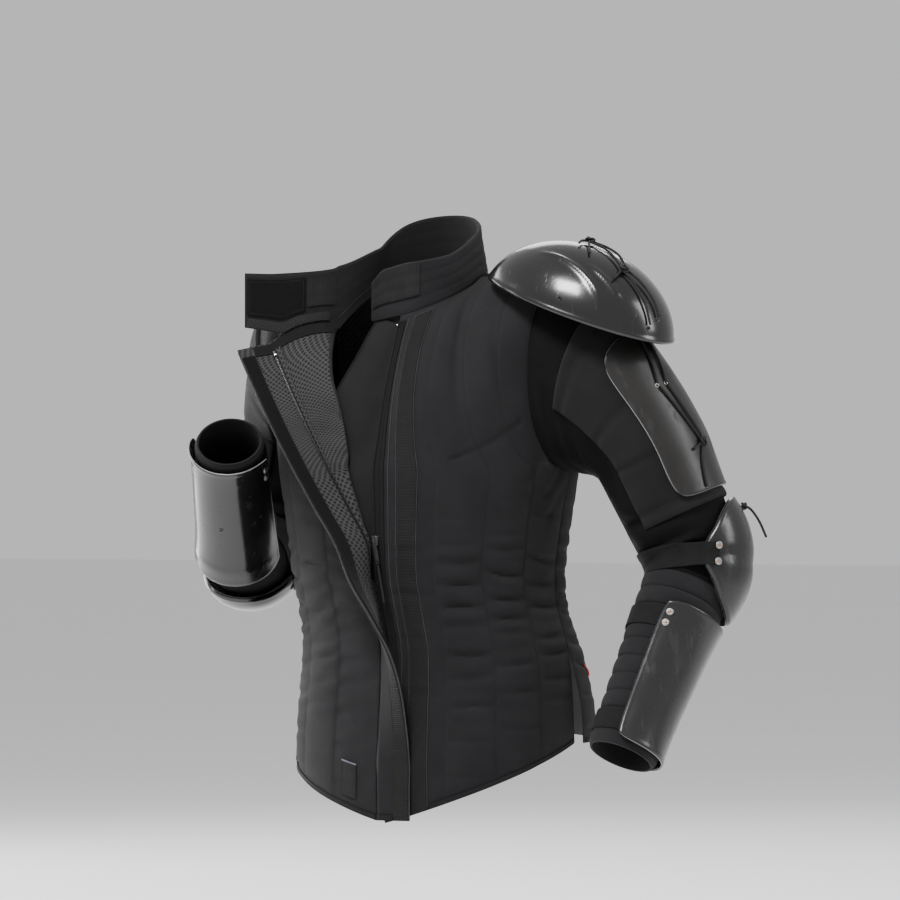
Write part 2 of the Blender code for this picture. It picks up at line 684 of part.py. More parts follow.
def make_front_trim(left, right, back):
    """Strips, zip tapes, hem bindings and labels, each from the points of the panel that it is sewn on.

    The numbers are rows up from the hem and columns of the panel's own grid."""
    left_inner, left_outer, left_normals = left
    right_inner, right_outer, right_normals = right
    back_inner, back_outer, back_normals = back
    top = LOW_ROWS + HIGH_ROWS
    zip_column = HALF_COLUMNS + TURN_COLUMNS
    end = zip_column + FLY_COLUMNS
    long_rows = places(STRIP_LOW, top - STRIP_HIGH)
    zip_rows = places(STRIP_LOW, top - ZIP_HIGH)
    fly_rows = places(STRIP_LOW, top - FLY_HIGH)
    strip_on("hook_strip", left_outer, left_normals, long_rows, places(*HOOK_COLUMNS), TAPE_CLOTH, ZIP_SEAT)
    strip_on("zip_left", left_outer, left_normals, zip_rows, np.array(ZIP_LEFT_COLUMNS), TAPE_CLOTH,
             ZIP_SEAT, ZIP_WALL)
    strip_on("zip_right", right_inner, -right_normals, zip_rows,
             places(zip_column - ZIP_RIGHT_IN, zip_column + ZIP_RIGHT_OUT), TAPE_CLOTH, ZIP_SEAT, ZIP_WALL)
    strip_on("loop_strip", right_inner, -right_normals, fly_rows,
             places(end - LOOP_COLUMNS, end - EDGE), TAPE_CLOTH)
    strip_on("fly_band", right_outer, right_normals, fly_rows,
             places(end - BAND_COLUMNS, end - EDGE), WEBBING)
    hem = np.array([EDGE / 3, HEM_SHARE])
    strip_on("hem_left", left_outer, left_normals, hem,
             places(HOOK_COLUMNS[1] + BESIDE, HALF_COLUMNS - EDGE), TAPE_CLOTH)
    strip_on("hem_right", right_outer, right_normals, hem,
             places(EDGE, end - BAND_COLUMNS - BESIDE), TAPE_CLOTH)
    strip_on("hem_back", back_outer, back_normals, hem, places(EDGE, 2 * HALF_COLUMNS - EDGE), TAPE_CLOTH)
    strip_on("hem_label", right_outer, right_normals, places(*LABEL_ROWS), places(*LABEL_COLUMNS), TAPE_CLOTH)
    strip_on("side_tag", back_outer, back_normals, places(*TAG_ROWS), places(*TAG_COLUMNS), TAG)


# Collar

def neckline(left, back, right):
    """The panels' own outer top edge, from the left zip round the neck to the right zip."""
    middle = HALF_COLUMNS
    past_roll = HALF_COLUMNS + COLLAR_SEAM_COLUMNS
    inner, outer = (np.concatenate([left[which][-1, : NECK_COLUMN + 1],
                                    back[which][-1, middle + NECK_COLUMN - 1: middle - NECK_COLUMN - 1: -1],
                                    right[which][-1, middle - RIGHT_NECK_COLUMN + 1: past_roll + 1]])
                    for which in (0, 1))
    line = outer.copy()
    line[:, 2] = np.maximum(inner[:, 2], outer[:, 2])
    return line


def with_tabs(line):
    """The collar runs on past the zip at both ends."""
    steps = np.arange(1, TAB_COLUMNS + 1)[:, None] / TAB_COLUMNS
    left = line[0] + LEFT_TAB * unit((-1, -0.10, -0.20)) * steps[::-1]
    right = line[-1] + RIGHT_TAB * unit((-0.83, -0.54, 0.14)) * steps
    return np.concatenate([left, line, right])


def make_collar(left, back, right):
    """The collar stands just inside the panels' top edge, square to it, and leans in a little."""
    seam = with_tabs(neckline(left, back, right))
    ahead = np.gradient(seam, axis=0)
    outward = np.stack([ahead[:, 1], -ahead[:, 0], 0 * ahead[:, 0]], -1)
    outward /= np.linalg.norm(outward, axis=1, keepdims=True)
    columns = np.arange(len(seam))
    table = np.array(list(COLLAR.values()))
    top = smooth_rows(table[:, 1:], np.interp(columns, table[:, 0], np.arange(len(table))))
    outer = []
    for t in np.linspace(0, 1, COLLAR_ROWS + 1):
        lifted = seam - outward * (COLLAR_INSET + top[:, 1:] * t)
        lifted[:, 2] = seam[:, 2] + COLLAR_SEAT + (top[:, 0] - seam[:, 2]) * t
        outer.append(lifted)
    outer = np.array(outer)
    inner = outer - outward * COLLAR_WALL
    wall("collar", inner, outer, SHELL)
    normals = np.repeat(outward[None], COLLAR_ROWS + 1, 0)
    strip_on("collar_tab", outer, normals, places(1.2, COLLAR_ROWS - 0.2),
             places(0.12, TAB_COLUMNS + 1.5), TAPE_CLOTH)
    last = len(columns) - 1
    strip_on("collar_patch", inner, -normals, places(0.95, COLLAR_ROWS - 0.45),
             places(last - 4.6, last - 0.2), TAPE_CLOTH)


# Sleeves

def arm_path(side):
    """The middle of the sleeve past the shoulder: straight, round the elbow, straight to the cuff.

    Each place has its centre, the direction away from the bend, the direction across and the way ahead."""
    arm = ARMS[side]
    start, elbow, end = (np.array(arm[key]) for key in ("start", "elbow", "end"))
    radius = arm["bend_radius"]
    away = unit(arm["away"])
    across = unit(np.cross(away, start - end))
    beside = np.cross(across, away)
    bend = elbow - radius * away

    def flat(point):
        return np.array([-(point - bend) @ away, (point - bend) @ beside])

    def tangent_turn(point, sign):
        place = flat(point)
        return math.atan2(place[1], place[0]) + sign * math.acos(radius / np.linalg.norm(place))

    turn = np.linspace(tangent_turn(start, 1), tangent_turn(end, -1) + 2 * math.pi, arm["elbow_rows"] + 1)
    out = -np.cos(turn)[:, None] * away + np.sin(turn)[:, None] * beside
    arc = bend + radius * out
    share = np.linspace(-1, 1, len(arc))[:, None]
    off_plane = np.where(share < 0, -share * ((start - bend) @ across), share * ((end - bend) @ across))
    arc += across * off_plane * ELBOW_DRIFT
    upper = blended((start, arc[0]), np.linspace(0, 1, arm["upper_rows"] + 1)[:-1, None])
    fore = blended((arc[-1], end), np.linspace(0, 1, arm["fore_rows"] + 1)[1:, None])
    centres = np.concatenate([upper, arc, fore])
    outs = np.concatenate([np.repeat(out[:1], len(upper), 0), out, np.repeat(out[-1:], len(fore), 0)])
    ahead = np.cross(outs, np.repeat(across[None], len(outs), 0))
    if ahead[0] @ (arc[0] - start) < 0:
        ahead = -ahead
    return centres, outs, np.repeat(across[None], len(outs), 0), ahead


def make_sleeve(side, front_edge, back_edge):
    """The sleeve. Its first ring is the armhole's own edge, and a smooth shoulder leads to the arm."""
    arm = ARMS[side]
    centres, outs, across, ahead = arm_path(side)
    name = "left" if side == 1 else "right"
    medial = np.array([-side, 0.0, -0.45])
    forward = np.array([0.0, -1.0, 0.0])
    start_angle = math.atan2(medial @ across[0], medial @ outs[0])
    front_angle = math.atan2(forward @ across[0], forward @ outs[0])
    way = 1 if math.sin(front_angle - start_angle) > 0 else -1
    angles = start_angle + way * np.arange(AROUND) * 2 * math.pi / AROUND
    stations = np.cumsum([0] + [arm["upper_rows"], arm["elbow_rows"], arm["fore_rows"]])
    radii = np.interp(np.arange(len(centres)), stations, SLEEVE_RADII[side])
    round_out = np.cos(angles)[:, None] * outs[:, None] + np.sin(angles)[:, None] * across[:, None]
    rings = centres[:, None] + radii[:, None, None] * round_out

    # The armhole's loop: armpit, up the front, over the shoulder and down the back
    inner_loop = np.concatenate([front_edge[0], back_edge[0][-2:0:-1]])
    outer_loop = np.concatenate([front_edge[1], back_edge[1][-2:0:-1]])
    along = np.roll(inner_loop, -1, axis=0) - np.roll(inner_loop, 1, axis=0)
    clear = np.cross(along, outer_loop - inner_loop)
    clear *= np.sign(clear[AROUND // 2, 0] * side) / np.linalg.norm(clear, axis=1, keepdims=True)
    inner_loop = inner_loop + clear * 2 * GAP
    outer_loop = outer_loop + clear * 2 * GAP
    top_share = (1 - np.cos(np.arange(AROUND) * 2 * math.pi / AROUND)) / 2
    leaving = np.array([side, 0.0, -0.10]) * (0.030 + 0.160 * top_share)[:, None]
    leaving[:, 2] += LIFT_OFF * (1 - top_share)
    arriving = ahead[0] * (0.035 + 0.160 * top_share)[:, None]
    shoulder = []
    for t in np.linspace(0, 1, SHOULDER_ROWS + 1)[1:-1]:
        shoulder.append(inner_loop * (2 * t**3 - 3 * t**2 + 1) + leaving * (t**3 - 2 * t**2 + t)
                        + rings[0] * (3 * t**2 - 2 * t**3) + arriving * (t**3 - t**2))
    inner = np.concatenate([[inner_loop], shoulder, rings])
    normals = normals_of(inner, 1, True)
    middle = inner.mean(axis=1, keepdims=True)
    if ((inner - middle) * normals).sum() < 0:
        normals = -normals
    rise = np.zeros(len(inner))
    fore_start = SHOULDER_ROWS + arm["upper_rows"] + arm["elbow_rows"]
    rise[fore_start + 1:-1:2] = FORE_RIDGE
    outer = inner + normals * (CLOTH + rise)[:, None, None]
    outer[0] = outer_loop
    wall(f"sleeve_{name}", inner[: fore_start + 1], outer[: fore_start + 1], SHELL, around=True)

    # The forearm is a sleeve of its own, sewn on below the elbow
    fore = slice(fore_start, None)
    seam = np.zeros((len(inner[fore]), 1, 1))
    seam[0] = SEAT
    seam = ahead[-1] * seam
    wall(f"fore_sleeve_{name}", inner[fore] + seam, outer[fore] + seam, SHELL, around=True)
    plain = inner + normals * CLOTH

    def column(angle):
        """The column of a turn from the elbow's outer side, in degrees."""
        return way * (math.radians(angle) - start_angle) / (2 * math.pi) * AROUND

    return {"plain": plain, "normals": normals, "column": column, "name": name, "side": side,
            "elbow": SHOULDER_ROWS + arm["upper_rows"], "fore": fore_start, "last": len(inner) - 1,
            "elbow_rows": arm["elbow_rows"]}


def columns_between(sleeve, first, last, step=1.0):
    ends = sorted((sleeve["column"](first), sleeve["column"](last)))
    return places(*ends, step)


def make_arm_pieces(sleeve):
    """What is sewn, strapped and laced to a sleeve, all from the sleeve's own points."""
    name, face, normals = sleeve["name"], sleeve["plain"], sleeve["normals"]
    elbow, fore, last, column = sleeve["elbow"], sleeve["fore"], sleeve["last"], sleeve["column"]
    left = sleeve["side"] == 1
    middle = elbow + sleeve["elbow_rows"] / 2
    cup_turn, guard_turn = FACING[sleeve["side"]]

    def at(row, across, lift):
        point = read_grid(face, [row], [across], True)[0, 0]
        out = unit(read_grid(normals, [row], [across], True)[0, 0])
        return point + out * lift, out

    def rows_from_elbow(distances, across):
        """The rows at these distances from the elbow's middle, measured down one column."""
        steps = np.linspace(1, last, 20 * last)
        line = read_flat(face, steps, [across], True)[:, 0]
        run = np.concatenate([[0], np.cumsum(np.linalg.norm(np.diff(line, axis=0), axis=1))])
        return np.interp(distances + np.interp(middle, steps, run), run, steps)

    # Upper arm pad, quilted across, centred on the outside of the arm
    top = AROUND / 2
    pad_columns = places(top - 4, top + 4)
    pad_rows = places(2, elbow - 1)
    base = read_flat(face, pad_rows, pad_columns, True)
    out = read_flat(normals, pad_rows, pad_columns, True)
    swell = np.where(np.arange(len(pad_rows)) % 2 == 0, 0.55, 1.0)[:, None, None]
    wall(f"arm_pad_{name}", base + out * SEAT, base + out * (SEAT + PAD_WALL * swell), SHELL)

    if left:
        # Upper arm plate, which shows on the left arm alone, and its lace
        plate_rows = places(3.2, elbow - 1.5)
        plate_columns = places(top - 2.2, top + 2.2)
        out = read_grid(normals, plate_rows, plate_columns, True)
        lift = PAD_WALL + 2 * SEAT
        spread = read_grid(face, plate_rows, plate_columns, True) + out * lift
        plate("arm_plate_left", spread, out[2, len(plate_columns) // 2], MOULDED)
        on_top = lift + PLATE + LACE_RADIUS + SEAT
        route = [at(row, across, on_top)[0] for row, across in PLATE_LACE.values()]
        cord("plate_lace", route, LACE_RADIUS, LACE)

    # Elbow cup over the outside of the elbow
    beta = np.arange(CAP_SEGMENTS) * 2 * math.pi / CAP_SEGMENTS
    rings = []
    for ring in CUP_RINGS:
        cup_rows = rows_from_elbow(CUP_REACH[sleeve["side"]] * ring * np.cos(beta), column(cup_turn))
        turns = cup_turn + CUP_TURN * ring * np.sin(beta)
        rings.append([at(row, column(turn), cup_height(ring))[0] for row, turn in zip(cup_rows, turns)])
    crown, out = at(middle, column(cup_turn), cup_height(0))
    dome(f"elbow_cup_{name}", np.array(rings), crown, out, MOULDED)

    # Its strap runs round the inside of the elbow, and both ends lie on the cup under two rivets
    ends = cup_turn + CUP_TURN * STRAP_END, cup_turn + 360 - CUP_TURN * STRAP_END
    strap_columns = columns_between(sleeve, *ends, 0.5)
    base, out = [], []
    for across in strap_columns:
        strap_rows = rows_from_elbow(np.linspace(-0.5, 0.5, 5) * ELBOW_STRAP, across)
        base.append(read_grid(face, strap_rows, [across], True)[:, 0])
        out.append(read_grid(normals, strap_rows, [across], True)[:, 0])
    base, out = np.array(base).swapaxes(0, 1), np.array(out).swapaxes(0, 1)
    out /= np.linalg.norm(out, axis=2, keepdims=True)
    first, second = sorted((column(ends[0]), column(ends[1])))
    from_end = np.minimum(strap_columns - first, second - strap_columns) * 360 / AROUND
    ring = STRAP_END + from_end / CUP_TURN
    over_cup = np.array([cup_height(min(r, 1.0)) for r in ring]) + PLATE + 3 * SEAT
    settle = np.clip((ring - 1.0) / STRAP_SETTLE, 0, 1)
    seat = STRAP_SEAT[sleeve["side"]]
    lift = (over_cup + (seat - over_cup) * settle * settle * (3 - 2 * settle))[None, :, None]
    strap_face = base + out * (lift + TAPE)
    wall(f"elbow_strap_{name}", base + out * lift, strap_face, WEBBING)
    end = 0.5 if column(ends[0]) < column(ends[1]) else len(strap_columns) - 1.5
    for mark, row in (("a", 0.7), ("b", 3.3)):
        rivet(f"cup_rivet_{mark}_{name}", *facet(strap_face, row, end, out[2, round(end)]))

    # Forearm straps, and the guard over the outside of the forearm with its rivets
    straps = {"upper": fore + STRAP_START[sleeve["side"]], "lower": last - 3.8}
    for place, start in straps.items():
        strip_on(f"fore_strap_{place}_{name}", face, normals, places(start, start + STRAP_ROWS),
                 columns_between(sleeve, guard_turn + 78, guard_turn + 282), WEBBING, STRAP_LIFT, TAPE, True)
    guard_rows = places(fore + GUARD_START[sleeve["side"]], last - 0.6, 4.0)
    guard_columns = columns_between(sleeve, guard_turn - GUARD_REACH, guard_turn + GUARD_REACH)
    out = read_grid(normals, guard_rows, guard_columns, True)
    flare = PLATE_LIFT + GUARD_FLARE * np.linspace(-1, 1, len(guard_rows)) ** 4
    spread = read_grid(face, guard_rows, guard_columns, True) + out * flare[:, None, None]
    plate(f"fore_guard_{name}", spread, out[2, len(guard_columns) // 2], MOULDED)
    guard_face = spread + out * PLATE
    wide = np.flatnonzero(np.diff(guard_columns) > RIVET_CELL)
    held = straps["upper" if left else "lower"]
    near, far = RIVET_SHARES[sleeve["side"]]
    first, second = wide[0], wide[-1]
    for mark, share, cell in (("a", near, first), ("b", far, first), ("c", near, second), ("d", far, second)):
        row = np.interp(held + STRAP_ROWS * share, guard_rows, np.arange(len(guard_rows)))
        rivet(f"guard_rivet_{mark}_{name}", *facet(guard_face, row, cell + 0.5, out[2, cell]))


def cup_height(ring):
    """How far the elbow cup stands off the sleeve, from its rim at 1 to its crown at 0."""
    return CUP_LIFT + CUP_BULGE * math.sqrt(1 - ring**2)


def facet(grid, row, column, outward):
    """A point on a grid's facets, raised by the gap of a rivet, with the facet's own normal."""
    point, ahead, beside = (read_flat(grid, [row + down], [column + across])[0, 0]
                            for down, across in ((0, 0), (0.1, 0), (0, 0.1)))
    out = unit(np.cross(ahead - point, beside - point))
    out *= np.sign(out @ outward)
    return point + out * RIVET_SEAT, out


def rivet(name, point, out):
    """A rivet head that lies on a plate."""
    bpy.ops.mesh.primitive_cylinder_add(vertices=8, radius=RIVET_RADIUS, depth=RIVET_DEPTH)
    made = bpy.context.object
    made.name = name
    made.location = point + out * RIVET_DEPTH / 2
    made.rotation_euler = Vector(out).to_track_quat("Z", "Y").to_euler()
    place_in_jacket(made, METAL)


def cap_point(along, across, lift=0.0):
    """A place on the shoulder cap: along from the neck to the arm, across from the front to the back."""
    tilt = np.array([math.cos(CAP_TILT), 0, -math.sin(CAP_TILT)])
    up = np.array([math.sin(CAP_TILT), 0, math.cos(CAP_TILT)])
    depth = np.array([0, 1.0, 0])
    rise = math.sqrt(max(0.0, 1 - along**2 - across**2))
    return (CAP_CENTRE + tilt * along * (CAP_SIZE["along"] + lift)
            + depth * across * (CAP_SIZE["across"] + lift) + up * rise * (CAP_SIZE["height"] + lift))


def make_shoulder_cap():
    """The polished dome over the left shoulder, and the lace that lies along its top."""
    beta = np.arange(CAP_SEGMENTS) * 2 * math.pi / CAP_SEGMENTS
    rings = []
    for turn in np.linspace(math.radians(CAP_RIM), math.radians(CAP_TOP), CAP_RINGS):
        rings.append([cap_point(math.sin(turn) * math.cos(b), math.sin(turn) * math.sin(b)) for b in beta])
    rings = np.array(rings)
    dome("shoulder_cap_left", rings, cap_point(0, 0), rings[0, 0] - CAP_CENTRE, GLOSSY)
    route = [cap_point(along, across, PLATE + LACE_RADIUS + LACE_GAP) for along, across in CAP_LACE]
    cord("cap_lace_left", route, LACE_RADIUS, LACE)


# Zip

def make_zip_pull():
    """The slider stays on the zip. The pull hangs from it on a hinge, with a short cord through its end."""
    bpy.ops.mesh.primitive_cube_add(size=1)
    slider = bpy.context.object
    slider.name = "zip_slider"
    slider.data.transform(Matrix.Diagonal((*SLIDER_SIZE, 1.0)))
    slider.location = SLIDER_CENTRE
    place_in_jacket(slider, METAL)
    bevel = slider.modifiers.new("Edges", "BEVEL")
    bevel.width = 0.0008
    bevel.segments = 1

    hinge = SLIDER_CENTRE - np.array([0, SLIDER_SIZE[1] / 2 + HINGE_STANDOFF, 0])
    bpy.ops.mesh.primitive_cube_add(size=1)
    pull = bpy.context.object
    pull.name = "zip_pull"
    pull.data.transform(Matrix.Diagonal((*PULL_SIZE, 1.0)))
    for vertex in pull.data.vertices:
        vertex.co.z -= PULL_SIZE[2] / 2 - HINGE_INSET
    pull.location = hinge
    pull.rotation_euler = (0, -PULL_TILT, 0)
    place_in_jacket(pull, RUBBERY)
    bevel = pull.modifiers.new("Edges", "BEVEL")
    bevel.width = 0.0005
    bevel.segments = 1

    hanging = np.array([math.sin(PULL_TILT), 0, -math.cos(PULL_TILT)])
    top = hinge + hanging * (PULL_SIZE[2] - HINGE_INSET + GAP)
    route = [top + hanging * CORD_LENGTH * share for share in (0, 0.5, 1)]
    cord("pull_cord", route, CORD_RADIUS, LACE)


def place_in_jacket(made, material):
    made.data.materials.append(material)
    for collection in list(made.users_collection):
        collection.objects.unlink(made)
    JACKET.objects.link(made)


for old in list(bpy.data.objects):
    bpy.data.objects.remove(old)
JACKET = bpy.data.collections.new("Fencing jacket")
bpy.context.scene.collection.children.link(JACKET)

SHELL = finish("padded black cotton", (0.022, 0.021, 0.025), 0.85)
LINING = finish("black lining", (0.012, 0.012, 0.014), 0.9)
TAPE_CLOTH = finish("sewn tape", (0.018, 0.018, 0.021), 0.8)
WEBBING = finish("webbing", (0.012, 0.012, 0.014), 0.75)
MOULDED = finish("moulded plastic", (0.045, 0.047, 0.050), 0.38)
GLOSSY = finish("polished plastic", (0.05, 0.05, 0.052), 0.15)
METAL = finish("nickel", (0.55, 0.53, 0.50), 0.3, 1.0)
RUBBERY = finish("dark pull", (0.02, 0.02, 0.022), 0.5)
TAG = finish("red tag", (0.45, 0.02, 0.03), 0.7)
LACE = finish("lace", (0.012, 0.012, 0.013), 0.8)

left_front = make_front_left()
back_panel = make_back()
right_front = make_front_right()
make_underlap()
make_front_trim(left_front, right_front, back_panel)
make_collar(left_front, back_panel, right_front)
armhole_rows = slice(LOW_ROWS, None)
for side, front, front_column, back_column in ((1, left_front, -1, -1), (-1, right_front, 0, 0)):
    front_edge = [face[armhole_rows, front_column] for face in front[:2]]
    back_edge = [face[armhole_rows, back_column] for face in back_panel[:2]]
    make_arm_pieces(make_sleeve(side, front_edge, back_edge))
make_shoulder_cap()
make_zip_pull()
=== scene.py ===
import math

import bmesh
import bpy
import numpy as np
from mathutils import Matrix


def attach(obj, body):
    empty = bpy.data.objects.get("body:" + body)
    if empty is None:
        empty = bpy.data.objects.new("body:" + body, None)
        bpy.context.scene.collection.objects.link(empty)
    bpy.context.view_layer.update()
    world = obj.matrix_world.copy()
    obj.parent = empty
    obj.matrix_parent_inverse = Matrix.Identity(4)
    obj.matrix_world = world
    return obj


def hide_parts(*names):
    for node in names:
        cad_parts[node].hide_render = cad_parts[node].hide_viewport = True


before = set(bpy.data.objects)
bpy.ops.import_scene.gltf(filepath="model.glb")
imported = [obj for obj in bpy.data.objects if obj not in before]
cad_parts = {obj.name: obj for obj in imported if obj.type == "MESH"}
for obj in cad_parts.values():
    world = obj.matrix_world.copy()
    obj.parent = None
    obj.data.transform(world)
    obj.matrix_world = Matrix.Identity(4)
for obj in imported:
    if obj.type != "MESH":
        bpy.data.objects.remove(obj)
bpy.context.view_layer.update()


# Camera, light and floor
# The jacket stands a little turned and is seen through a long lens, so that its sides stay nearly parallel.
# The light is a pale room with soft boxes in front, behind and on both sides.

VIEW_TURN = math.radians(30)
VIEW_MIDDLE = np.array([0.0208, 0.0120, -0.1800])
VIEW_WIDTH = 1.08
CAMERA_AWAY = 10.0
CAMERA_SEES_TO = 100.0
SENSOR = 36.0
LIGHT_TARGET = (0.02, 0.0, -0.25)
ROOM_LIGHT = 0.66
FLOOR_HEIGHT = -0.78
FLOOR_SIZE = 60.0


def look_towards(made, place, target):
    """Puts a lamp or camera at a place and turns its -Z axis to the target."""
    away = np.asarray(place, float) - np.asarray(target, float)
    tilt = math.acos(away[2] / np.linalg.norm(away))
    made.location = place
    made.rotation_euler = (tilt, 0, math.atan2(away[1], away[0]) + math.pi / 2)
    bpy.context.scene.collection.objects.link(made)


camera_data = bpy.data.cameras.new("camera")
camera_data.sensor_width = SENSOR
camera_data.lens = SENSOR * CAMERA_AWAY / VIEW_WIDTH
camera_data.clip_end = CAMERA_SEES_TO
camera = bpy.data.objects.new("camera", camera_data)
to_camera = np.array([math.sin(VIEW_TURN), -math.cos(VIEW_TURN), 0])
look_towards(camera, VIEW_MIDDLE + to_camera * CAMERA_AWAY, VIEW_MIDDLE)
bpy.context.scene.camera = camera

# Each soft box: its name, where it stands, its width and height, its power
SOFT_BOXES = (
    ("front box", (0.10, -2.15, 2.75), 1.1, 0.9, 220),
    ("left box", (-2.60, -1.30, 0.60), 0.6, 2.0, 20),
    ("far left box", (-2.75, 0.55, 0.30), 1.7, 2.2, 90),
    ("right box", (2.70, 0.60, 1.10), 0.8, 1.8, 44),
    ("back box", (-1.30, 2.70, 1.70), 1.6, 1.2, 30),
)
for name, place, width, height, power in SOFT_BOXES:
    box = bpy.data.lights.new(name, "AREA")
    box.shape = "RECTANGLE"
    box.size, box.size_y, box.energy = width, height, power
    look_towards(bpy.data.objects.new(name, box), place, LIGHT_TARGET)

room = bpy.data.worlds.new("pale room")
room.use_nodes = True
sky = room.node_tree.nodes["Background"].inputs
sky["Color"].default_value = (1.0, 1.0, 1.0, 1.0)
sky["Strength"].default_value = ROOM_LIGHT
bpy.context.scene.world = room


class Value:
    """A number that changes over a surface. Its operators add the Math nodes that work it out."""

    def __init__(self, dye, socket):
        self.dye, self.socket = dye, socket

    def math(self, operation, *others):
        inputs = dict(enumerate((self, *others)))
        return Value(self.dye, self.dye.node("ShaderNodeMath", {"operation": operation}, inputs).outputs[0])

    def __add__(self, other):
        return self.math("ADD", other)

    def __sub__(self, other):
        return self.math("SUBTRACT", other)

    def __mul__(self, other):
        return self.math("MULTIPLY", other)

    def __truediv__(self, other):
        return self.math("DIVIDE", other)

    def __rsub__(self, other):
        return self.math("MULTIPLY", -1.0).math("ADD", other)

    def wave(self, length):
        """A sine of this length, from 0 to 1."""
        return (self * (2 * math.pi / length)).math("SINE") * 0.5 + 0.5

    def step(self, low, high):
        """0 below low and 1 above high, with a smooth rise."""
        node = self.dye.node("ShaderNodeMapRange", {"interpolation_type": "SMOOTHSTEP"},
                             {"Value": self, "From Min": low, "From Max": high})
        return Value(self.dye, node.outputs["Result"])


class Dye:
    """A finish under construction: a material, its shader and the nodes that feed it."""

    def __init__(self, name, roughness, metallic=0.0, **sockets):
        self.material = bpy.data.materials.new(name)
        self.material.use_nodes = True
        self.tree = self.material.node_tree
        self.shader = self.tree.nodes["Principled BSDF"]
        self.set("Roughness", roughness)
        self.set("Metallic", metallic)
        for key, value in sockets.items():
            self.set(key.replace("_", " ").title().replace("Ior", "IOR"), value)

    def feed(self, slot, value):
        value = value.socket if isinstance(value, Value) else value
        if isinstance(value, bpy.types.NodeSocket):
            self.tree.links.new(value, slot)
        else:
            slot.default_value = (*value, 1.0) if slot.type == "RGBA" else value

    def set(self, key, value):
        self.feed(self.shader.inputs[key], value)

    def node(self, kind, settings=None, inputs=None):
        made = self.tree.nodes.new(kind)
        for key, value in (settings or {}).items():
            setattr(made, key, value)
        for key, value in (inputs or {}).items():
            self.feed(made.inputs[key], value)
        return made

    def place(self):
        """Object coordinates, in metres."""
        return self.node("ShaderNodeTexCoord").outputs["Object"]

    def cloth_place(self):
        """Metres across and along the cloth, from the piece's own map."""
        parts = self.node("ShaderNodeSeparateXYZ", inputs={0: self.node("ShaderNodeUVMap").outputs[0]})
        return Value(self, parts.outputs["X"]), Value(self, parts.outputs["Y"])

    def noise(self, size, detail=2.0, stretch=(1, 1, 1), roughness=0.5):
        """Uneven patches about this size, from 0 to 1."""
        spread = self.node("ShaderNodeMapping", inputs={"Vector": self.place(), "Scale": stretch})
        made = self.node("ShaderNodeTexNoise", inputs={"Vector": spread.outputs[0], "Scale": 1 / size,
                                                       "Detail": detail, "Roughness": roughness})
        return Value(self, made.outputs[0])

    def mix(self, share, first, second):
        """One colour where share is 0 and the other where it is 1."""
        inputs = {0: share, 6: first, 7: second}
        return self.node("ShaderNodeMix", {"data_type": "RGBA"}, inputs).outputs[2]

    def colour(self, colour, share, low, high, *others):
        """Tints a colour between low and high by a share, then mixes in each other tint by its own share."""
        base = self.mix(share, tint(colour, low), tint(colour, high))
        for share, factor in others:
            base = self.mix(share, base, tint(colour, factor))
        self.set("Base Color", base)

    def relief(self, height, depth):
        """Raises the surface by height times depth, in metres."""
        made = self.node("ShaderNodeBump", inputs={"Height": height, "Distance": depth})
        self.set("Normal", made.outputs[0])


def tint(colour, share):
    return tuple(min(1.0, channel * share) for channel in colour)


floor_dye = Dye("pale floor", 0.9)
floor_dye.set("Base Color", floor_dye.mix(floor_dye.noise(0.6), (0.86, 0.86, 0.86), (0.89, 0.89, 0.89)))
floor_mesh = bpy.data.meshes.new("floor")
half = FLOOR_SIZE / 2
floor_corners = ((-half, -half), (half, -half), (half, half), (-half, half))
floor_mesh.from_pydata([(x, y, FLOOR_HEIGHT) for x, y in floor_corners], [], [(0, 1, 2, 3)])
floor_mesh.materials.append(floor_dye.material)
floor = bpy.data.objects.new("floor", floor_mesh)
bpy.context.scene.collection.objects.link(floor)


# Cord of the zip pull
# A thin braided cord tied through the end of the zip's pull tab, to make it easy to grip. It hangs straight
# down beside the zip and its end is melted to a bead.

SLIDER_CENTRE = np.array([0.0035, -0.1360, -0.2875])
SLIDER_SIZE = (0.0085, 0.0032, 0.0115)
PULL_TILT = math.radians(11)
PULL_SIZE = (0.0060, 0.0015, 0.030)
HINGE_STANDOFF = 0.0013
HINGE_INSET = 0.0006
CORD_LENGTH = 0.045
CORD_RADIUS = 0.0012
CORD_TOP_GAP = 0.0003
PULL_HINGE = SLIDER_CENTRE - np.array([0, SLIDER_SIZE[1] / 2 + HINGE_STANDOFF, 0])
PULL_DOWN = np.array([math.sin(PULL_TILT), 0, -math.cos(PULL_TILT)])


def smooth_rows(table, places, around=False):
    """The table's rows read at fractional places, on a smooth curve through them: between two rows the
    curve is a cubic whose slopes are half the step from the row before to the row after."""
    table = np.asarray(table, float)
    count = len(table)
    places = np.atleast_1d(np.asarray(places, float))
    first = np.floor(places).astype(int)
    if not around:
        first = np.clip(first, 0, count - 2)
    t = (places - first).reshape((-1,) + (1,) * (table.ndim - 1))

    def row(shift):
        index = first + shift
        return table[index % count] if around else table[np.clip(index, 0, count - 1)]

    before, start, end, after = row(-1), row(0), row(1), row(2)
    if not around:
        before = np.where((first > 0).reshape(t.shape), before, 2 * start - end)
        after = np.where((first < count - 2).reshape(t.shape), after, 2 * end - start)
    slope_in = (end - before) / 2
    slope_out = (after - start) / 2
    return (start * (2 * t**3 - 3 * t**2 + 1) + slope_in * (t**3 - 2 * t**2 + t)
            + end * (3 * t**2 - 2 * t**3) + slope_out * (t**3 - t**2))


def unit(vectors):
    """Vectors cut or stretched to a length of one."""
    vectors = np.asarray(vectors, float)
    return vectors / np.linalg.norm(vectors, axis=-1, keepdims=True)


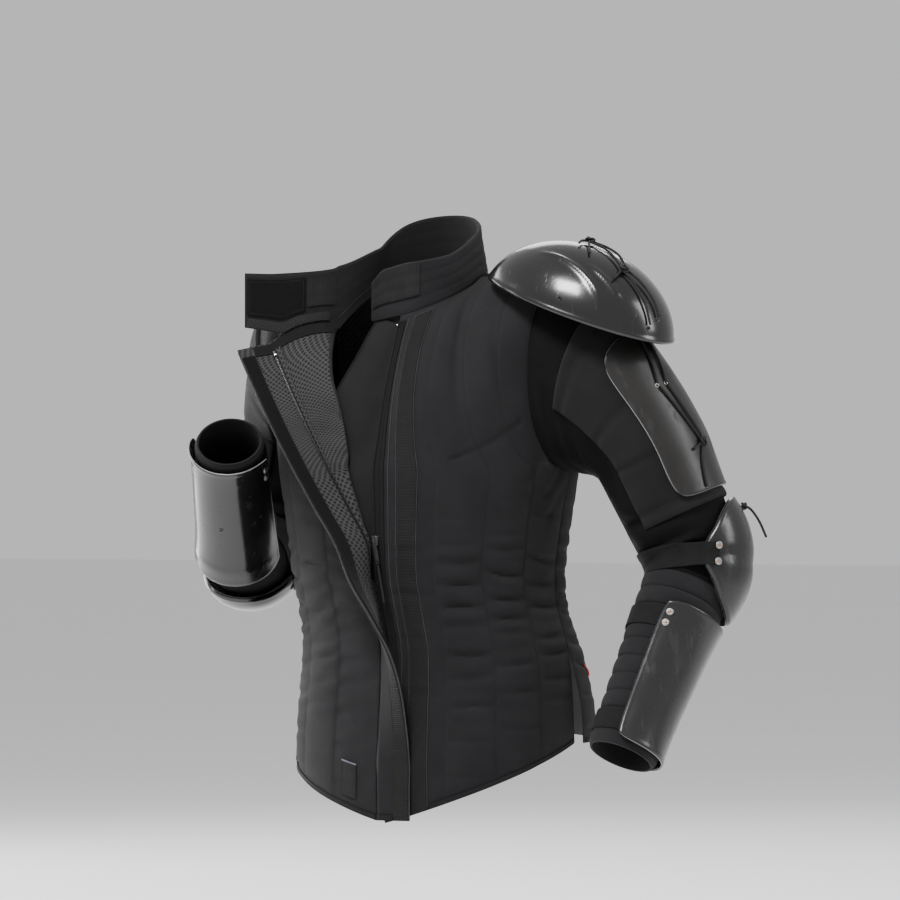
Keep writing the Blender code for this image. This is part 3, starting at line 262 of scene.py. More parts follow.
def add_piece(name, points, faces, finishes, body="jacket", slot="padded_cotton", places=None, finish_of=None,
              crease=50, node=None):
    """Puts a mesh in the scene as a piece of the jacket. places are the cloth's own metres at each point, and
    node is the solid that the piece dresses."""
    mesh = bpy.data.meshes.new(name)
    faces = faces.tolist() if isinstance(faces, np.ndarray) else faces
    mesh.from_pydata(np.asarray(points).tolist(), [], faces)
    for finish in finishes:
        mesh.materials.append(finish)
    if places is not None:
        corners = np.empty(len(mesh.loops), dtype=np.int32)
        mesh.loops.foreach_get("vertex_index", corners)
        mesh.uv_layers.new(name="cloth").data.foreach_set("uv", np.asarray(places)[corners].ravel())
    if finish_of is not None:
        mesh.polygons.foreach_set("material_index", np.asarray(finish_of, dtype=np.int32))
    mesh.shade_smooth()
    mesh.set_sharp_from_angle(angle=math.radians(crease))
    made = bpy.data.objects.new(name, mesh)
    bpy.context.scene.collection.objects.link(made)
    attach(made, body)
    if node:
        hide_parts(node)
    return made


def run_of(line):
    """Metres along a line of points, from its start."""
    return np.concatenate([[0], np.cumsum(np.linalg.norm(np.diff(line, axis=0), axis=1))])


def tube_points(path, radius, sides=10, steps=None):
    """A round tube along a smooth path: rings of points square to the path, closed by a point at each end.

    Gives the points, the quads and the metres round and along the tube at each point."""
    path = np.asarray(path, float)
    steps = steps or 6 * len(path)
    line = smooth_rows(path, np.linspace(0, len(path) - 1, steps))
    ahead = unit(np.gradient(line, axis=0))
    side = [unit(np.cross(ahead[0], (0.31, 0.52, 0.79)))]
    for way in ahead[1:]:
        side.append(unit(side[-1] - way * (side[-1] @ way)))
    side = np.array(side)
    other = np.cross(ahead, side)
    turn = np.arange(sides) * 2 * math.pi / sides
    widths = np.broadcast_to(radius, (len(line),)).astype(float)
    rings = (line[:, None] + widths[:, None, None] * (np.cos(turn)[:, None] * side[:, None]
                                                      + np.sin(turn)[:, None] * other[:, None]))
    count = len(line) * sides
    index = np.arange(count).reshape(-1, sides)
    ahead_index = np.roll(index, -1, axis=1)
    quads = np.stack([index[:-1], ahead_index[:-1], ahead_index[1:], index[1:]], -1).reshape(-1, 4).tolist()
    ends = [[count, b, a] for a, b in zip(index[0], ahead_index[0])]
    ends += [[count + 1, a, b] for a, b in zip(index[-1], ahead_index[-1])]
    tips = np.array([line[0] - ahead[0] * widths[0] * 0.5, line[-1] + ahead[-1] * widths[-1] * 0.5])
    run = run_of(line)
    places = np.stack([np.tile(turn * widths.mean(), len(line)), np.repeat(run, sides)], -1)
    places = np.concatenate([places, [[0, 0], [0, run[-1]]]])
    return np.concatenate([rings.reshape(-1, 3), tips]), quads + ends, places, line


def braided(name, colour, pitch):
    """Round braid: two sets of strands that wind against each other."""
    dye = Dye(name, 0.62, specular_ior_level=0.35)
    across, along = dye.cloth_place()
    strands = (across + along).wave(pitch) * (across - along).wave(pitch)
    dye.colour(colour, strands, 0.5, 1.5)
    dye.relief(strands, 0.0003)
    return dye.material


LACE = braided("black braided lace", (0.0039, 0.0039, 0.0041), 0.0016)
cord_top = PULL_HINGE + PULL_DOWN * (PULL_SIZE[2] - HINGE_INSET + CORD_TOP_GAP)
cord_path = [cord_top, cord_top + PULL_DOWN * CORD_LENGTH * 0.5, cord_top + PULL_DOWN * CORD_LENGTH]
points, faces, places, cord_line = tube_points(cord_path, CORD_RADIUS, 12, 40)
pull_cord = add_piece("pull_braid", points, faces, [LACE], "pull", "lace", places, node="pull_cord")


# Left front
# One padded panel of black cotton, cut straight at the zip and curved to the hem, armhole and neck. Its
# wadding is held by upright rows of stitches, and between them the cloth has crumpled across at the waist.

GAP = 0.0003
CLOTH = 0.0022
QUILT_RISE = 0.00198
BODY_LEVELS = np.array([
    # height at the front, side and back, half the width, how far the front and back stand out
    (-0.622, -0.528, -0.520, 0.178, -0.134, 0.160),
    (-0.552, -0.482, -0.476, 0.176, -0.134, 0.148),
    (-0.462, -0.424, -0.420, 0.171, -0.127, 0.118),
    (-0.380, -0.362, -0.362, 0.165, -0.122, 0.100),
    (-0.292, -0.284, -0.284, 0.173, -0.129, 0.104),
    (-0.205, -0.205, -0.200, 0.187, -0.133, 0.113),
])
FRONT_Z, SIDE_Z, BACK_Z, HALF_WIDTH, FRONT_Y, BACK_Y = range(6)
SQUARENESS = 2.25
SEAM_Y = 0.003
HIP_SWAY = 0.017
SWAY_FROM = -0.32
SWAY_TO = -0.44
NECK_FRONT = np.array([0.0, -0.067, -0.020])
NECK_BACK = np.array([0.0, 0.062, 0.038])
NECK_SIDE = {1: np.array([0.070, SEAM_Y, 0.025]), -1: np.array([-0.077, SEAM_Y, 0.017])}
SHOULDER = np.array([0.181, SEAM_Y, 0.021])
NECK_COLUMN = 7
ARMHOLE_DEPTH = 0.072
ARMHOLE_NARROWING = 0.013
CHEST_RISE = 0.005
BLADE_RISE = 0.010
SHOULDER_RISE = 0.012
LOW_ROWS = 10
HIGH_ROWS = 7
CHANNELS = 4
HALF_COLUMNS = 16
NECK_SHARE = NECK_COLUMN / HALF_COLUMNS
ROW_STEPS = 10
COLUMN_STEPS = 5


def blended(ends, t):
    return ends[0] * (1 - t) + ends[1] * t


def body_row(v, u, front):
    """The body from the hem, v = 0, to the armpit, v = 1, and from the centre, u = 0, to the side: at each
    level a squarish oval whose x and y are powers of the sine and cosine of u quarter turns."""
    level = smooth_rows(BODY_LEVELS, np.ravel(v) * (len(BODY_LEVELS) - 1)).reshape(np.shape(v) + (6,))
    turn = u * math.pi / 2
    reach = level[..., FRONT_Y if front else BACK_Y] - SEAM_Y
    centre_z = level[..., FRONT_Z if front else BACK_Z]
    bow = 2 / SQUARENESS
    x = level[..., HALF_WIDTH] * np.sin(turn) ** bow
    y = SEAM_Y + reach * np.clip(np.cos(turn), 0, 1) ** bow
    return np.stack([x, y, centre_z + (level[..., SIDE_Z] - centre_z) * u], -1)


def neck_and_shoulder(u, front, side):
    """The top edge: a quarter oval round the neck, then the straight shoulder seam."""
    centre = NECK_FRONT if front else NECK_BACK
    neck = NECK_SIDE[side] * (side, 1, 1)
    t = np.clip(u / NECK_SHARE, 0, 1)
    turn = t * math.pi / 2
    line = np.stack([neck[0] * np.sin(turn), neck[1] + (centre[1] - neck[1]) * np.cos(turn),
                     centre[2] + (neck[2] - centre[2]) * t**1.3], -1)
    seam = np.clip((u - NECK_SHARE) / (1 - NECK_SHARE), 0, 1)[..., None]
    return line + (SHOULDER - neck) * seam


def armhole(q, front):
    """The armhole's edge: a half oval from the armpit at 0 to the shoulder at 1."""
    armpit = body_row(np.array(1.0), np.array(1.0), front)
    turn = q * math.pi
    x = armpit[0] + (SHOULDER[0] - armpit[0]) * q - ARMHOLE_NARROWING * np.sin(turn)
    y = SEAM_Y + (-1 if front else 1) * ARMHOLE_DEPTH * np.sin(turn)
    return np.stack([x, y, armpit[2] + (SHOULDER[2] - armpit[2]) * (1 - np.cos(turn)) / 2], -1)


def centre_line(q, front):
    """The middle of the chest or back, straight from the armpit's level to the neck with a slight swell."""
    start = body_row(np.array(1.0), np.array(0.0), front)
    line = blended((start, NECK_FRONT if front else NECK_BACK), q[..., None])
    line[..., 1] += (-CHEST_RISE if front else BLADE_RISE) * np.sin(q * math.pi)
    return line


def patch(q, u, bottom, top, near, far):
    """A surface through four edges: the sum of the two straight blends, less the blend of the corners."""
    flat_q, flat_u = q[..., None], u[..., None]
    zero, one = np.zeros_like(u), np.ones_like(u)
    between = blended((near(q), far(q)), flat_u) + blended((bottom(u), top(u)), flat_q)
    low_corners = blended((bottom(zero), bottom(one)), flat_u)
    high_corners = blended((top(zero), top(one)), flat_u)
    return between - blended((low_corners, high_corners), flat_q)


def body(v, u, front, side=1):
    """Half of the body: v is 0 at the hem, 1 at the armpit and 2 at the neck and shoulder."""
    q = np.clip(v - 1, 0, 1)
    high = patch(q, u, lambda at: body_row(np.ones_like(at), at, front),
                 lambda at: neck_and_shoulder(at, front, side),
                 lambda at: centre_line(at, front), lambda at: armhole(at, front))
    fill = SHOULDER_RISE * np.sin(q * math.pi) * np.sin(u * math.pi)
    high += np.stack([0 * fill, (-fill if front else fill), fill * 0.6], -1)
    return np.where((v > 1)[..., None], high, body_row(np.minimum(v, 1), u, front))


def ramp(value, width=1.0):
    """0 up to 0, then straight up to 1 at width."""
    return np.clip(value / width, 0, 1)


def eased(t):
    """A smooth step from 0 to 1: t * t * (3 - 2 * t)."""
    return t * t * (3 - 2 * t)


def bell(off, width):
    """A bell as wide as this: e to the power of -(off / width) squared."""
    return np.exp(-(off / width) ** 2)


def sway(points):
    """The hem stands a little to the left: below the waist x is moved by a smooth step."""
    moved = points.copy()
    moved[..., 0] += HIP_SWAY * eased(ramp(points[..., 2] - SWAY_FROM, SWAY_TO - SWAY_FROM))
    return moved


def normals_of(grid, sign=1.0, around=False):
    """Unit normals of a grid: the step across a row crossed with the step along a column."""
    if around:
        wide = np.concatenate([grid[:, -1:], grid, grid[:, :1]], axis=1)
        across = wide[:, 2:] - wide[:, :-2]
    else:
        across = np.gradient(grid, axis=1)
    return sign * unit(np.cross(across, np.gradient(grid, axis=0)))


PANEL_ROWS = np.concatenate([np.linspace(0, 1, LOW_ROWS + 1), 1 + np.linspace(0, 1, HIGH_ROWS + 1)[1:]])


def square_to_y(seams):
    """Turns the ways out along seams square to Y."""
    for seam in seams:
        seam[:, 1] = 0
        seam[:] = unit(seam)


def half_panel(front, side, flared=lambda points, share: points):
    """Half of the front or back: its inner face and normals, from the centre to the side."""
    v, u = np.meshgrid(PANEL_ROWS, np.linspace(0, 1, HALF_COLUMNS + 1), indexing="ij")
    inner = flared(body(v, u, front, side), u)
    normals = normals_of(inner, 1 if front else -1)
    square_to_y((normals[: LOW_ROWS + 1, -1], normals[-1, NECK_COLUMN:]))
    normals[:, 0, 0] = 0
    normals[:, 0] = unit(normals[:, 0])
    inner[: LOW_ROWS + 1, -1, 1] = SEAM_Y
    for seam in (inner[:-1, -1], inner[-1, NECK_COLUMN:]):
        seam[:, 1] += -GAP if front else GAP
    return sway(inner * (side, 1, 1)), normals * (side, 1, 1)


def between(last, steps):
    """Places from 0 to last, with this many steps from each whole number to the next."""
    return np.linspace(0, last, last * steps + 1)


def finer(grid, row_steps=ROW_STEPS, column_steps=COLUMN_STEPS, around=False):
    """A grid read between its rows and columns, on smooth curves. A closed grid ends where it began."""
    columns = between(grid.shape[1] - (0 if around else 1), column_steps)
    return smooth_rows(smooth_rows(grid, between(len(grid) - 1, row_steps)).swapaxes(0, 1), columns,
                       around).swapaxes(0, 1)


def fine_places(row_count, column_count, row_steps=ROW_STEPS, column_steps=COLUMN_STEPS):
    return np.meshgrid(between(row_count - 1, row_steps), between(column_count - 1, column_steps),
                       indexing="ij")


def read_points(grid, rows, columns):
    """A grid's points at fractional rows and columns, blended from the four nearest ones."""
    rows, columns = np.broadcast_arrays(np.asarray(rows, float), np.asarray(columns, float))
    row = np.clip(np.floor(rows).astype(int), 0, len(grid) - 2)
    column = np.clip(np.floor(columns).astype(int), 0, grid.shape[1] - 2)
    down, across = (rows - row)[..., None], (columns - column)[..., None]
    start = grid[row, column] * (1 - across) + grid[row, column + 1] * across
    below = grid[row + 1, column] * (1 - across) + grid[row + 1, column + 1] * across
    return start * (1 - down) + below * down


class Panel:
    """A piece of cloth in place: its inner and outer face and its normals, on a fine grid. Places on it are
    rows and columns of the coarse grid that it was cut from."""

    def __init__(self, inner, outer, out, row_steps=ROW_STEPS, column_steps=COLUMN_STEPS):
        self.inner, self.outer, self.out = inner, outer, unit(out)
        self.row_steps, self.column_steps = row_steps, column_steps

    def read(self, face, rows, columns):
        return read_points(face, np.asarray(rows, float) * self.row_steps,
                           np.asarray(columns, float) * self.column_steps)

    def on(self, rows, columns, lift=0.0, inside=False):
        """Points on the outer face, or on the inner one, raised by lift."""
        face = self.read(self.inner if inside else self.outer, rows, columns)
        return face + self.normal(rows, columns, inside) * np.asarray(lift)[..., None]

    def normal(self, rows, columns, inside=False):
        return unit(self.read(self.out, rows, columns)) * (-1 if inside else 1)


def across_rows(grid):
    """Metres along each row of a grid of points, from its first column."""
    return np.pad(np.linalg.norm(np.diff(grid, axis=1), axis=2).cumsum(axis=1), ((0, 0), (1, 0)))


def run_lengths(grid):
    """Metres across and along a grid: across along each row, and along down its first column."""
    return np.stack([across_rows(grid), np.repeat(run_of(grid[:, 0])[:, None], grid.shape[1], 1)], -1)


def wall_faces(inner, outer, around=False):
    """The quads of a closed wall between two grids: the outer face, the inner face, then the edges."""
    rows, columns = inner.shape[:2]
    count = rows * columns
    index = np.arange(count).reshape(rows, columns)
    a, b, c, d = index[:-1, :-1], index[:-1, 1:], index[1:, 1:], index[1:, :-1]
    faces = [np.stack([a, b, c, d], -1) + count, np.stack([a, d, c, b], -1)]

    def edge(line):
        near, far = line[:-1], line[1:]
        return np.stack([far + count, near + count, near, far], -1)

    faces += [edge(index[0]), edge(index[-1][::-1])]
    if not around:
        faces += [edge(index[::-1, 0]), edge(index[:, -1])]
    middle = (rows // 2, columns // 2)
    beside = (rows // 2, columns // 2 - 1)
    below = (rows // 2 - 1, columns // 2)
    turn = np.cross(outer[middle] - outer[beside], outer[middle] - outer[below])
    faces = [face.reshape(-1, 4) for face in faces]
    if turn @ (outer[middle] - inner[middle]) < 0:
        faces = [face[:, ::-1] for face in faces]
    return faces


def add_wall(name, inner, outer, finishes, around=False, worn=0, node=None, **words):
    """A piece of cloth or sheet: a closed wall between two grids. The second finish is for its inner face,
    the third for its edges and for as many rings of outer faces beside them as worn says. A closed grid's
    last column lies on its first, and the two are merged."""
    faces = wall_faces(inner, outer, around)
    which = np.zeros(sum(len(face) for face in faces), int)
    if len(finishes) > 1:
        which[len(faces[0]):len(faces[0]) + len(faces[1])] = 1
    if worn:
        ring = np.zeros((outer.shape[0] - 1, outer.shape[1] - 1), int)
        ring[-worn:] = 2
        if not around:
            ring[:worn] = ring[:, :worn] = ring[:, -worn:] = 2
        which[:ring.size] = ring.ravel()
        which[len(faces[0]) + len(faces[1]):] = 2
    points = np.concatenate([inner.reshape(-1, 3), outer.reshape(-1, 3)])
    places = np.tile(run_lengths(outer).reshape(-1, 2), (2, 1))
    made = add_piece(name, points, np.concatenate(faces), finishes, finish_of=which, places=places, **words)
    if around:
        merge_doubles(made)
    if node:
        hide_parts(node)
    return made


def merge_doubles(made):
    work = bmesh.new()
    work.from_mesh(made.data)
    bmesh.ops.remove_doubles(work, verts=work.verts, dist=1e-6)
    work.to_mesh(made.data)
    work.free()


# Creases in each quilted channel: height, depth, slant across the channel and bow, in metres
CREASES = {
    1: ((-0.262, 0.0008, 0.001, 0.001), (-0.290, 0.0014, -0.001, -0.002), (-0.311, 0.0025, 0.000, -0.003),
        (-0.338, 0.0034, -0.001, -0.002), (-0.367, 0.0038, 0.001, 0.001), (-0.388, 0.0022, 0.002, 0.000),
        (-0.422, 0.0034, 0.001, -0.002), (-0.448, 0.0027, 0.004, -0.002), (-0.484, 0.0029, 0.002, 0.001),
        (-0.525, 0.0020, -0.003, 0.001), (-0.566, 0.0011, 0.002, 0.000)),
    2: ((-0.240, 0.0008, -0.002, 0.001), (-0.278, 0.0014, 0.001, -0.002), (-0.294, 0.0021, 0.004, -0.003),
        (-0.324, 0.0035, -0.006, -0.004), (-0.356, 0.0034, -0.001, -0.002), (-0.380, 0.0029, 0.001, -0.001),
        (-0.396, 0.0020, 0.003, 0.000), (-0.433, 0.0027, 0.005, -0.001), (-0.465, 0.0025, 0.003, -0.002),
        (-0.510, 0.0017, 0.001, 0.001), (-0.550, 0.0011, -0.002, 0.000)),
    3: ((-0.232, 0.0011, 0.003, 0.001), (-0.255, 0.0017, 0.000, -0.001), (-0.308, 0.0034, -0.008, -0.002),
        (-0.338, 0.0025, 0.003, -0.001), (-0.365, 0.0029, 0.001, -0.001), (-0.401, 0.0020, 0.004, -0.002),
        (-0.420, 0.0025, 0.005, -0.002), (-0.450, 0.0021, 0.003, 0.000), (-0.476, 0.0014, 0.002, 0.001)),
    0: ((-0.300, 0.0011, 0.001, 0.000), (-0.352, 0.0014, -0.001, 0.001), (-0.404, 0.0013, 0.002, 0.000),
        (-0.470, 0.0013, -0.002, 0.001)),
}
CREASE_WIDTH = 0.0040


def crumpled(z, u, shift=0.0, order=(0, 1, 2, 3), mirror=1):
    """How far the cloth is pressed in: for each crease a narrow bell down its line, with a softer ridge on
    either side, fading out at the stitch lines."""
    pressed = np.zeros_like(z)
    channel = np.clip(np.floor(u * CHANNELS), 0, CHANNELS - 1)
    share = u * CHANNELS - channel
    for number, source in enumerate(order):
        fade = np.where(channel == number, np.clip(np.sin(share * math.pi), 0, 1) ** 0.6, 0)
        for height, depth, slant, bow in CREASES[source]:
            line = height + shift + mirror * slant * (share - 0.5) + bow * np.sin(share * math.pi)
            off = (z - line) / CREASE_WIDTH
            pressed += depth * fade * (bell(off, 1) - 0.42 * bell(np.abs(off) - 2.3, 1.4))
    return pressed


def quilted(u, v, flat_below=1 / CHANNELS):
    """The rise of the padded channels between their stitch lines, flat beside the zip and at the edges."""
    rise = np.abs(np.sin(u * math.pi * CHANNELS)) ** 0.32 * (1 - 0.5 * ramp(v - 0.8, 0.3))
    ends = np.clip(v / 0.06, 0.25, 1) * ramp(2 - v, 0.14)
    return QUILT_RISE * np.where(u < flat_below, 0, rise) * ends


ROW_LENGTH = 0.036
COLUMN_LENGTH = 0.017


def beside_line(rows, columns, start, end, row_length=ROW_LENGTH, column_length=COLUMN_LENGTH):
    """Where places lie by a line from start to end: the share run along it, and the metres off it."""
    along = np.array([(end[0] - start[0]) * row_length, (end[1] - start[1]) * column_length])
    length = np.linalg.norm(along)
    along /= length
    off_row, off_column = (rows - start[0]) * row_length, (columns - start[1]) * column_length
    return (off_row * along[0] + off_column * along[1]) / length, off_row * along[1] - off_column * along[0]


def fold(rows, columns, start, end, width, depth, fade=0.35):
    """A fold or seam from one place of a panel to another: a bell across the line, faded at its ends."""
    run, off = beside_line(rows, columns, start, end)
    return depth * bell(off, width) * ramp(run, fade) * ramp(1 - run, fade)



def twill(name, colour, roughness=0.86, pitch=0.0011, lint=0.35, gloss=0.18):
    """Cotton twill: fine slanting ribs, an uneven dye, and a bloom of paler worn fibres."""
    dye = Dye(name, roughness, sheen_weight=gloss * 0.22, sheen_roughness=0.6, specular_ior_level=gloss)
    across, along = dye.cloth_place()
    ribs = (across + along * 0.8).wave(pitch)
    threads = (across - along * 1.1).wave(pitch * 0.62)
    weave = ribs * 0.7 + threads * 0.3
    specks = dye.noise(0.0011, 3.0, roughness=0.7).step(0.42, 0.72)
    clouds = dye.noise(0.045, 3.0).step(0.30, 0.72)
    dye.colour(colour, weave, 0.72, 1.22, (specks * lint, 2.3), (clouds * 0.35, 0.62))
    dye.set("Roughness", clouds * 0.10 + (roughness - 0.05))
    dye.relief(weave + specks * 0.8, 0.00022)
    return dye.material


def spacer_mesh(name, step, dark, pale):
    """Spacer mesh: round holes in rows that are set off by half a step, coloured near black where they go
    through as painted shade inside the holes.
    """
    dye = Dye(name, 0.78, sheen_weight=0.06, specular_ior_level=0.25)
    across, along = dye.cloth_place()
    row = step * 0.5
    odd = ((along / row).math("FLOOR") * 0.5).math("FRACT")
    off_across = ((across / step + odd).math("FRACT") - 0.5) * step
    off_along = ((along / row).math("FRACT") - 0.5) * row
    ring = (off_across * off_across + off_along * off_along).math("SQRT")
    hole = 1 - ring.step(step * 0.20, step * 0.28)
    # Painted shade: the holes take a near-black colour for the shade inside them, not a colour of the mesh
    dye.set("Base Color", dye.mix(hole, dye.mix(dye.noise(0.03, 2.0), dark, pale), (0.0015, 0.0015, 0.0015)))
    dye.relief(1 - hole, 0.0008)
    return dye.material


COTTON = twill("black quilted cotton", (0.0055, 0.0053, 0.0064))
MESH_LINING = spacer_mesh("grey spacer mesh", 0.0070, (0.020, 0.020, 0.0205), (0.031, 0.031, 0.0315))


def fine_panel(inner, normals):
    """A body panel on its fine grid: rows, columns, levels, inner face and ways out."""
    rows, columns = fine_places(*inner.shape[:2])
    levels = np.interp(rows, np.arange(len(PANEL_ROWS)), PANEL_ROWS)
    return rows, columns, levels, finer(inner), finer(normals)


def padded(name, node, inner, out, rise):
    """A padded panel: its outer face lies the cloth's thickness and its rise over the inner one."""
    outer = inner + unit(out) * (CLOTH + np.clip(rise, -CLOTH * 0.6, None))[..., None]
    made = add_wall(name, inner, outer, [COTTON, MESH_LINING], node=node)
    return Panel(inner, outer, out)


# Start, end, width and depth of the folds that the arm pulls from the armpit. The first is the dart from the
# armhole to the chest, whose ends fade soon.
LEFT_FOLDS = (
    ((12.4, 14.8), (10.42, 5.0), 0.0030, 0.0034, 0.06),
    ((11.6, 15.6), (9.3, 10.4), 0.006, 0.0022),
    ((10.6, 15.9), (8.6, 12.4), 0.006, 0.0016),
    ((9.6, 15.9), (8.2, 13.4), 0.007, 0.0016),
    ((15.4, 11.0), (12.2, 12.6), 0.008, 0.0010),
    ((16.6, 4.4), (13.0, 4.0), 0.007, 0.0007),
)
rows, columns, v, fine_inner, fine_out = fine_panel(*half_panel(True, 1))
u = columns / HALF_COLUMNS
rise = quilted(u, v) - crumpled(fine_inner[..., 2], u) - sum(fold(rows, columns, *row) for row in LEFT_FOLDS)
left_front = padded("front_left_quilted", "front_left", fine_inner, fine_out, rise)


# Back
# One padded panel across the shoulders and down to the hem, quilted all the way across. Below the waist its
# sides spread over the hips, because the side seams end in open vents.

VENT_TOP = -0.39
VENT_LOW = -0.50
VENT_SHARE = 0.45
VENT_FLARE = 0.013


def flared(points, share):
    """The vent's flare: below the vent's top the sides move out by a smooth step, most at the side edge."""
    moved = points.copy()
    moved[..., 0] += (VENT_FLARE * eased(ramp(points[..., 2] - VENT_TOP, VENT_LOW - VENT_TOP))
                      * ramp(share - VENT_SHARE, 1 - VENT_SHARE) ** 2)
    return moved


# Start, end, width and depth of the folds across the shoulder blades and the waist
BACK_FOLDS = (
    ((11.0, 31.5), (9.0, 27.0), 0.007, 0.0020), ((12.6, 31.4), (11.2, 26.5), 0.006, 0.0013),
    ((11.2, 0.5), (8.8, 5.5), 0.007, 0.0019), ((13.0, 0.6), (11.5, 4.5), 0.006, 0.0012),
    ((14.8, 26.5), (11.8, 24.5), 0.009, 0.0012), ((15.0, 5.5), (12.2, 8.0), 0.009, 0.0012),
    ((7.4, 11.0), (6.6, 20.5), 0.010, 0.0016), ((6.5, 13.5), (5.9, 24.0), 0.008, 0.0012),
    ((16.4, 11.0), (14.6, 21.0), 0.010, 0.0009),
)
# The halves lie side by side, from the right side seam over the middle to the left one
halves = zip(half_panel(False, -1, flared), half_panel(False, 1, flared))
rows, columns, v, fine_inner, fine_out = fine_panel(
    *(np.concatenate([right[:, :0:-1], left], axis=1) for right, left in halves))
u = np.abs(columns - HALF_COLUMNS) / HALF_COLUMNS
z = fine_inner[..., 2]
creases = np.where(columns > HALF_COLUMNS, crumpled(z, u, 0.014, (3, 1, 2, 1)),
                   crumpled(z, u, -0.008, (2, 3, 1, 2), -1))
rise = quilted(u, v, 0.0) - creases - sum(fold(rows, columns, *row) for row in BACK_FOLDS)
back = padded("back_quilted", "back", fine_inner, fine_out, rise)


# Right front
# The same padded cotton, turned back along a soft roll so that its spacer mesh facing shows. It is open down
# to the zip's slider, and below that its fly lies over the left front.

RIGHT_NECK_COLUMN = 6
RIGHT_NECK_SHARE = RIGHT_NECK_COLUMN / HALF_COLUMNS
ZIP_STOP = np.array([-0.156, -0.114, -0.052])
SLIDER_END = np.array([-0.007, -0.139, -0.288])
ZIP_BOW = 0.010
FLY_WIDTH = 0.040
FLY_LIFT = 0.0068
FLY_SAG = 0.0020
ROLL_ROOT = -0.013
# The roll line: heights and x up to the armpit, then shares up to the shoulder and across to the armhole
ROLL_LOW = ((-0.620, ROLL_ROOT), (-0.300, ROLL_ROOT), (-0.264, -0.021), (-0.205, -0.038))
ROLL_HIGH = np.array([(0.0, 0.10), (0.13, 0.122), (0.28, 0.157), (0.42, 0.213), (0.58, 0.325), (0.73, 0.47)])
BESIDE_NECK = 1.5
# How far the fly is turned back, in degrees, at heights along the front edge
FLY_TURN = ((-0.620, 0), (-0.550, 0), (-0.482, 20), (-0.434, 40), (-0.400, 60), (-0.355, 84), (-0.326, 100),
            (-0.288, 128), (-0.264, 135), (-0.040, 138))
FLY_DROP = -0.22
RISE_FROM = -0.40
ROLL_SOFTNESS = 0.015
TURN_COLUMNS = 6
FLY_COLUMNS = 4
ZIP_COLUMN = HALF_COLUMNS + TURN_COLUMNS
FLY_END = ZIP_COLUMN + FLY_COLUMNS
TOP_ROW = LOW_ROWS + HIGH_ROWS


def mixed(table, value):
    """A table of (place, value) rows read between its places."""
    rows = np.array(table)
    return np.interp(value, rows[:, 0], rows[:, 1])


def roll_share(v):
    """The share of the half row at which the roll line leaves the body, at levels below the armpit."""
    level = smooth_rows(BODY_LEVELS, v * (len(BODY_LEVELS) - 1))
    x = -mixed(ROLL_LOW, level[:, FRONT_Z])
    return np.arcsin((x / level[:, HALF_WIDTH]) ** (SQUARENESS / 2)) / (math.pi / 2)


def right_body(v, u):
    """The right front from the roll line to the side, mirrored to +X while it is worked out. Above the armpit
    its places on the body are a patch between the roll line, the armhole and the shoulder."""
    levels = np.minimum(v[:, 0], 1)
    start = roll_share(levels)
    share = start[:, None] + (1 - start[:, None]) * u
    low = body_row(np.minimum(v, 1), share, True)
    last = start[-1]

    def roll(q):
        return smooth_rows(ROLL_HIGH, q.ravel() * (len(ROLL_HIGH) - 1)).reshape(q.shape + (2,))

    def armpit_row(at):
        return np.stack([0 * at, last + (1 - last) * at], -1)

    def top_row(at):
        neck = np.clip(at / RIGHT_NECK_SHARE, 0, 1)
        shoulder = np.clip((at - RIGHT_NECK_SHARE) / (1 - RIGHT_NECK_SHARE), 0, 1)
        up = ROLL_HIGH[-1, 0] + (1 - ROLL_HIGH[-1, 0]) * neck
        across = ROLL_HIGH[-1, 1] + (NECK_SHARE - ROLL_HIGH[-1, 1]) * neck + (1 - NECK_SHARE) * shoulder
        return np.stack([up, across], -1)

    def armhole_side(at):
        return np.stack([at, 0 * at + 1], -1)

    q = np.clip(v - 1, 0, 1)
    place = patch(q, u, armpit_row, top_row, roll, armhole_side)
    place[..., 1] += BESIDE_NECK * q**3 * (1 - q) * np.sin(math.pi * np.sqrt(u))
    high = body(1 + np.clip(place[..., 0], 0, 1), place[..., 1], True, -1)
    upper = v > 1
    return np.where(upper[..., None], high, low), np.where(upper, place[..., 1], share)


def zip_edge(height, top_height, rows):
    """The right front's zip line: over the centre up to the slider, then along the open zip to its stop, with
    a bow that is a sine."""
    open_share = np.clip((height - SLIDER_END[2]) / (top_height - SLIDER_END[2]), 0, 1)[:, None]
    opened = blended((SLIDER_END, ZIP_STOP), open_share)
    opened[:, 1:2] -= ZIP_BOW * np.sin(open_share * math.pi)
    centre_y = body_row(np.minimum(rows, 1), np.zeros_like(rows), True)[:, 1]
    slider_y = np.interp(SLIDER_END[2], height, centre_y)
    standing = SLIDER_END + np.stack([0 * height, centre_y - slider_y, height - SLIDER_END[2]], -1)
    closed = np.stack([0 * height - 0.004, centre_y - FLY_LIFT, height], -1)
    rising = ramp(height - RISE_FROM, SLIDER_END[2] - RISE_FROM)[:, None]
    below = blended((closed, standing), eased(rising))
    return np.where((height < SLIDER_END[2])[:, None], below, opened), open_share


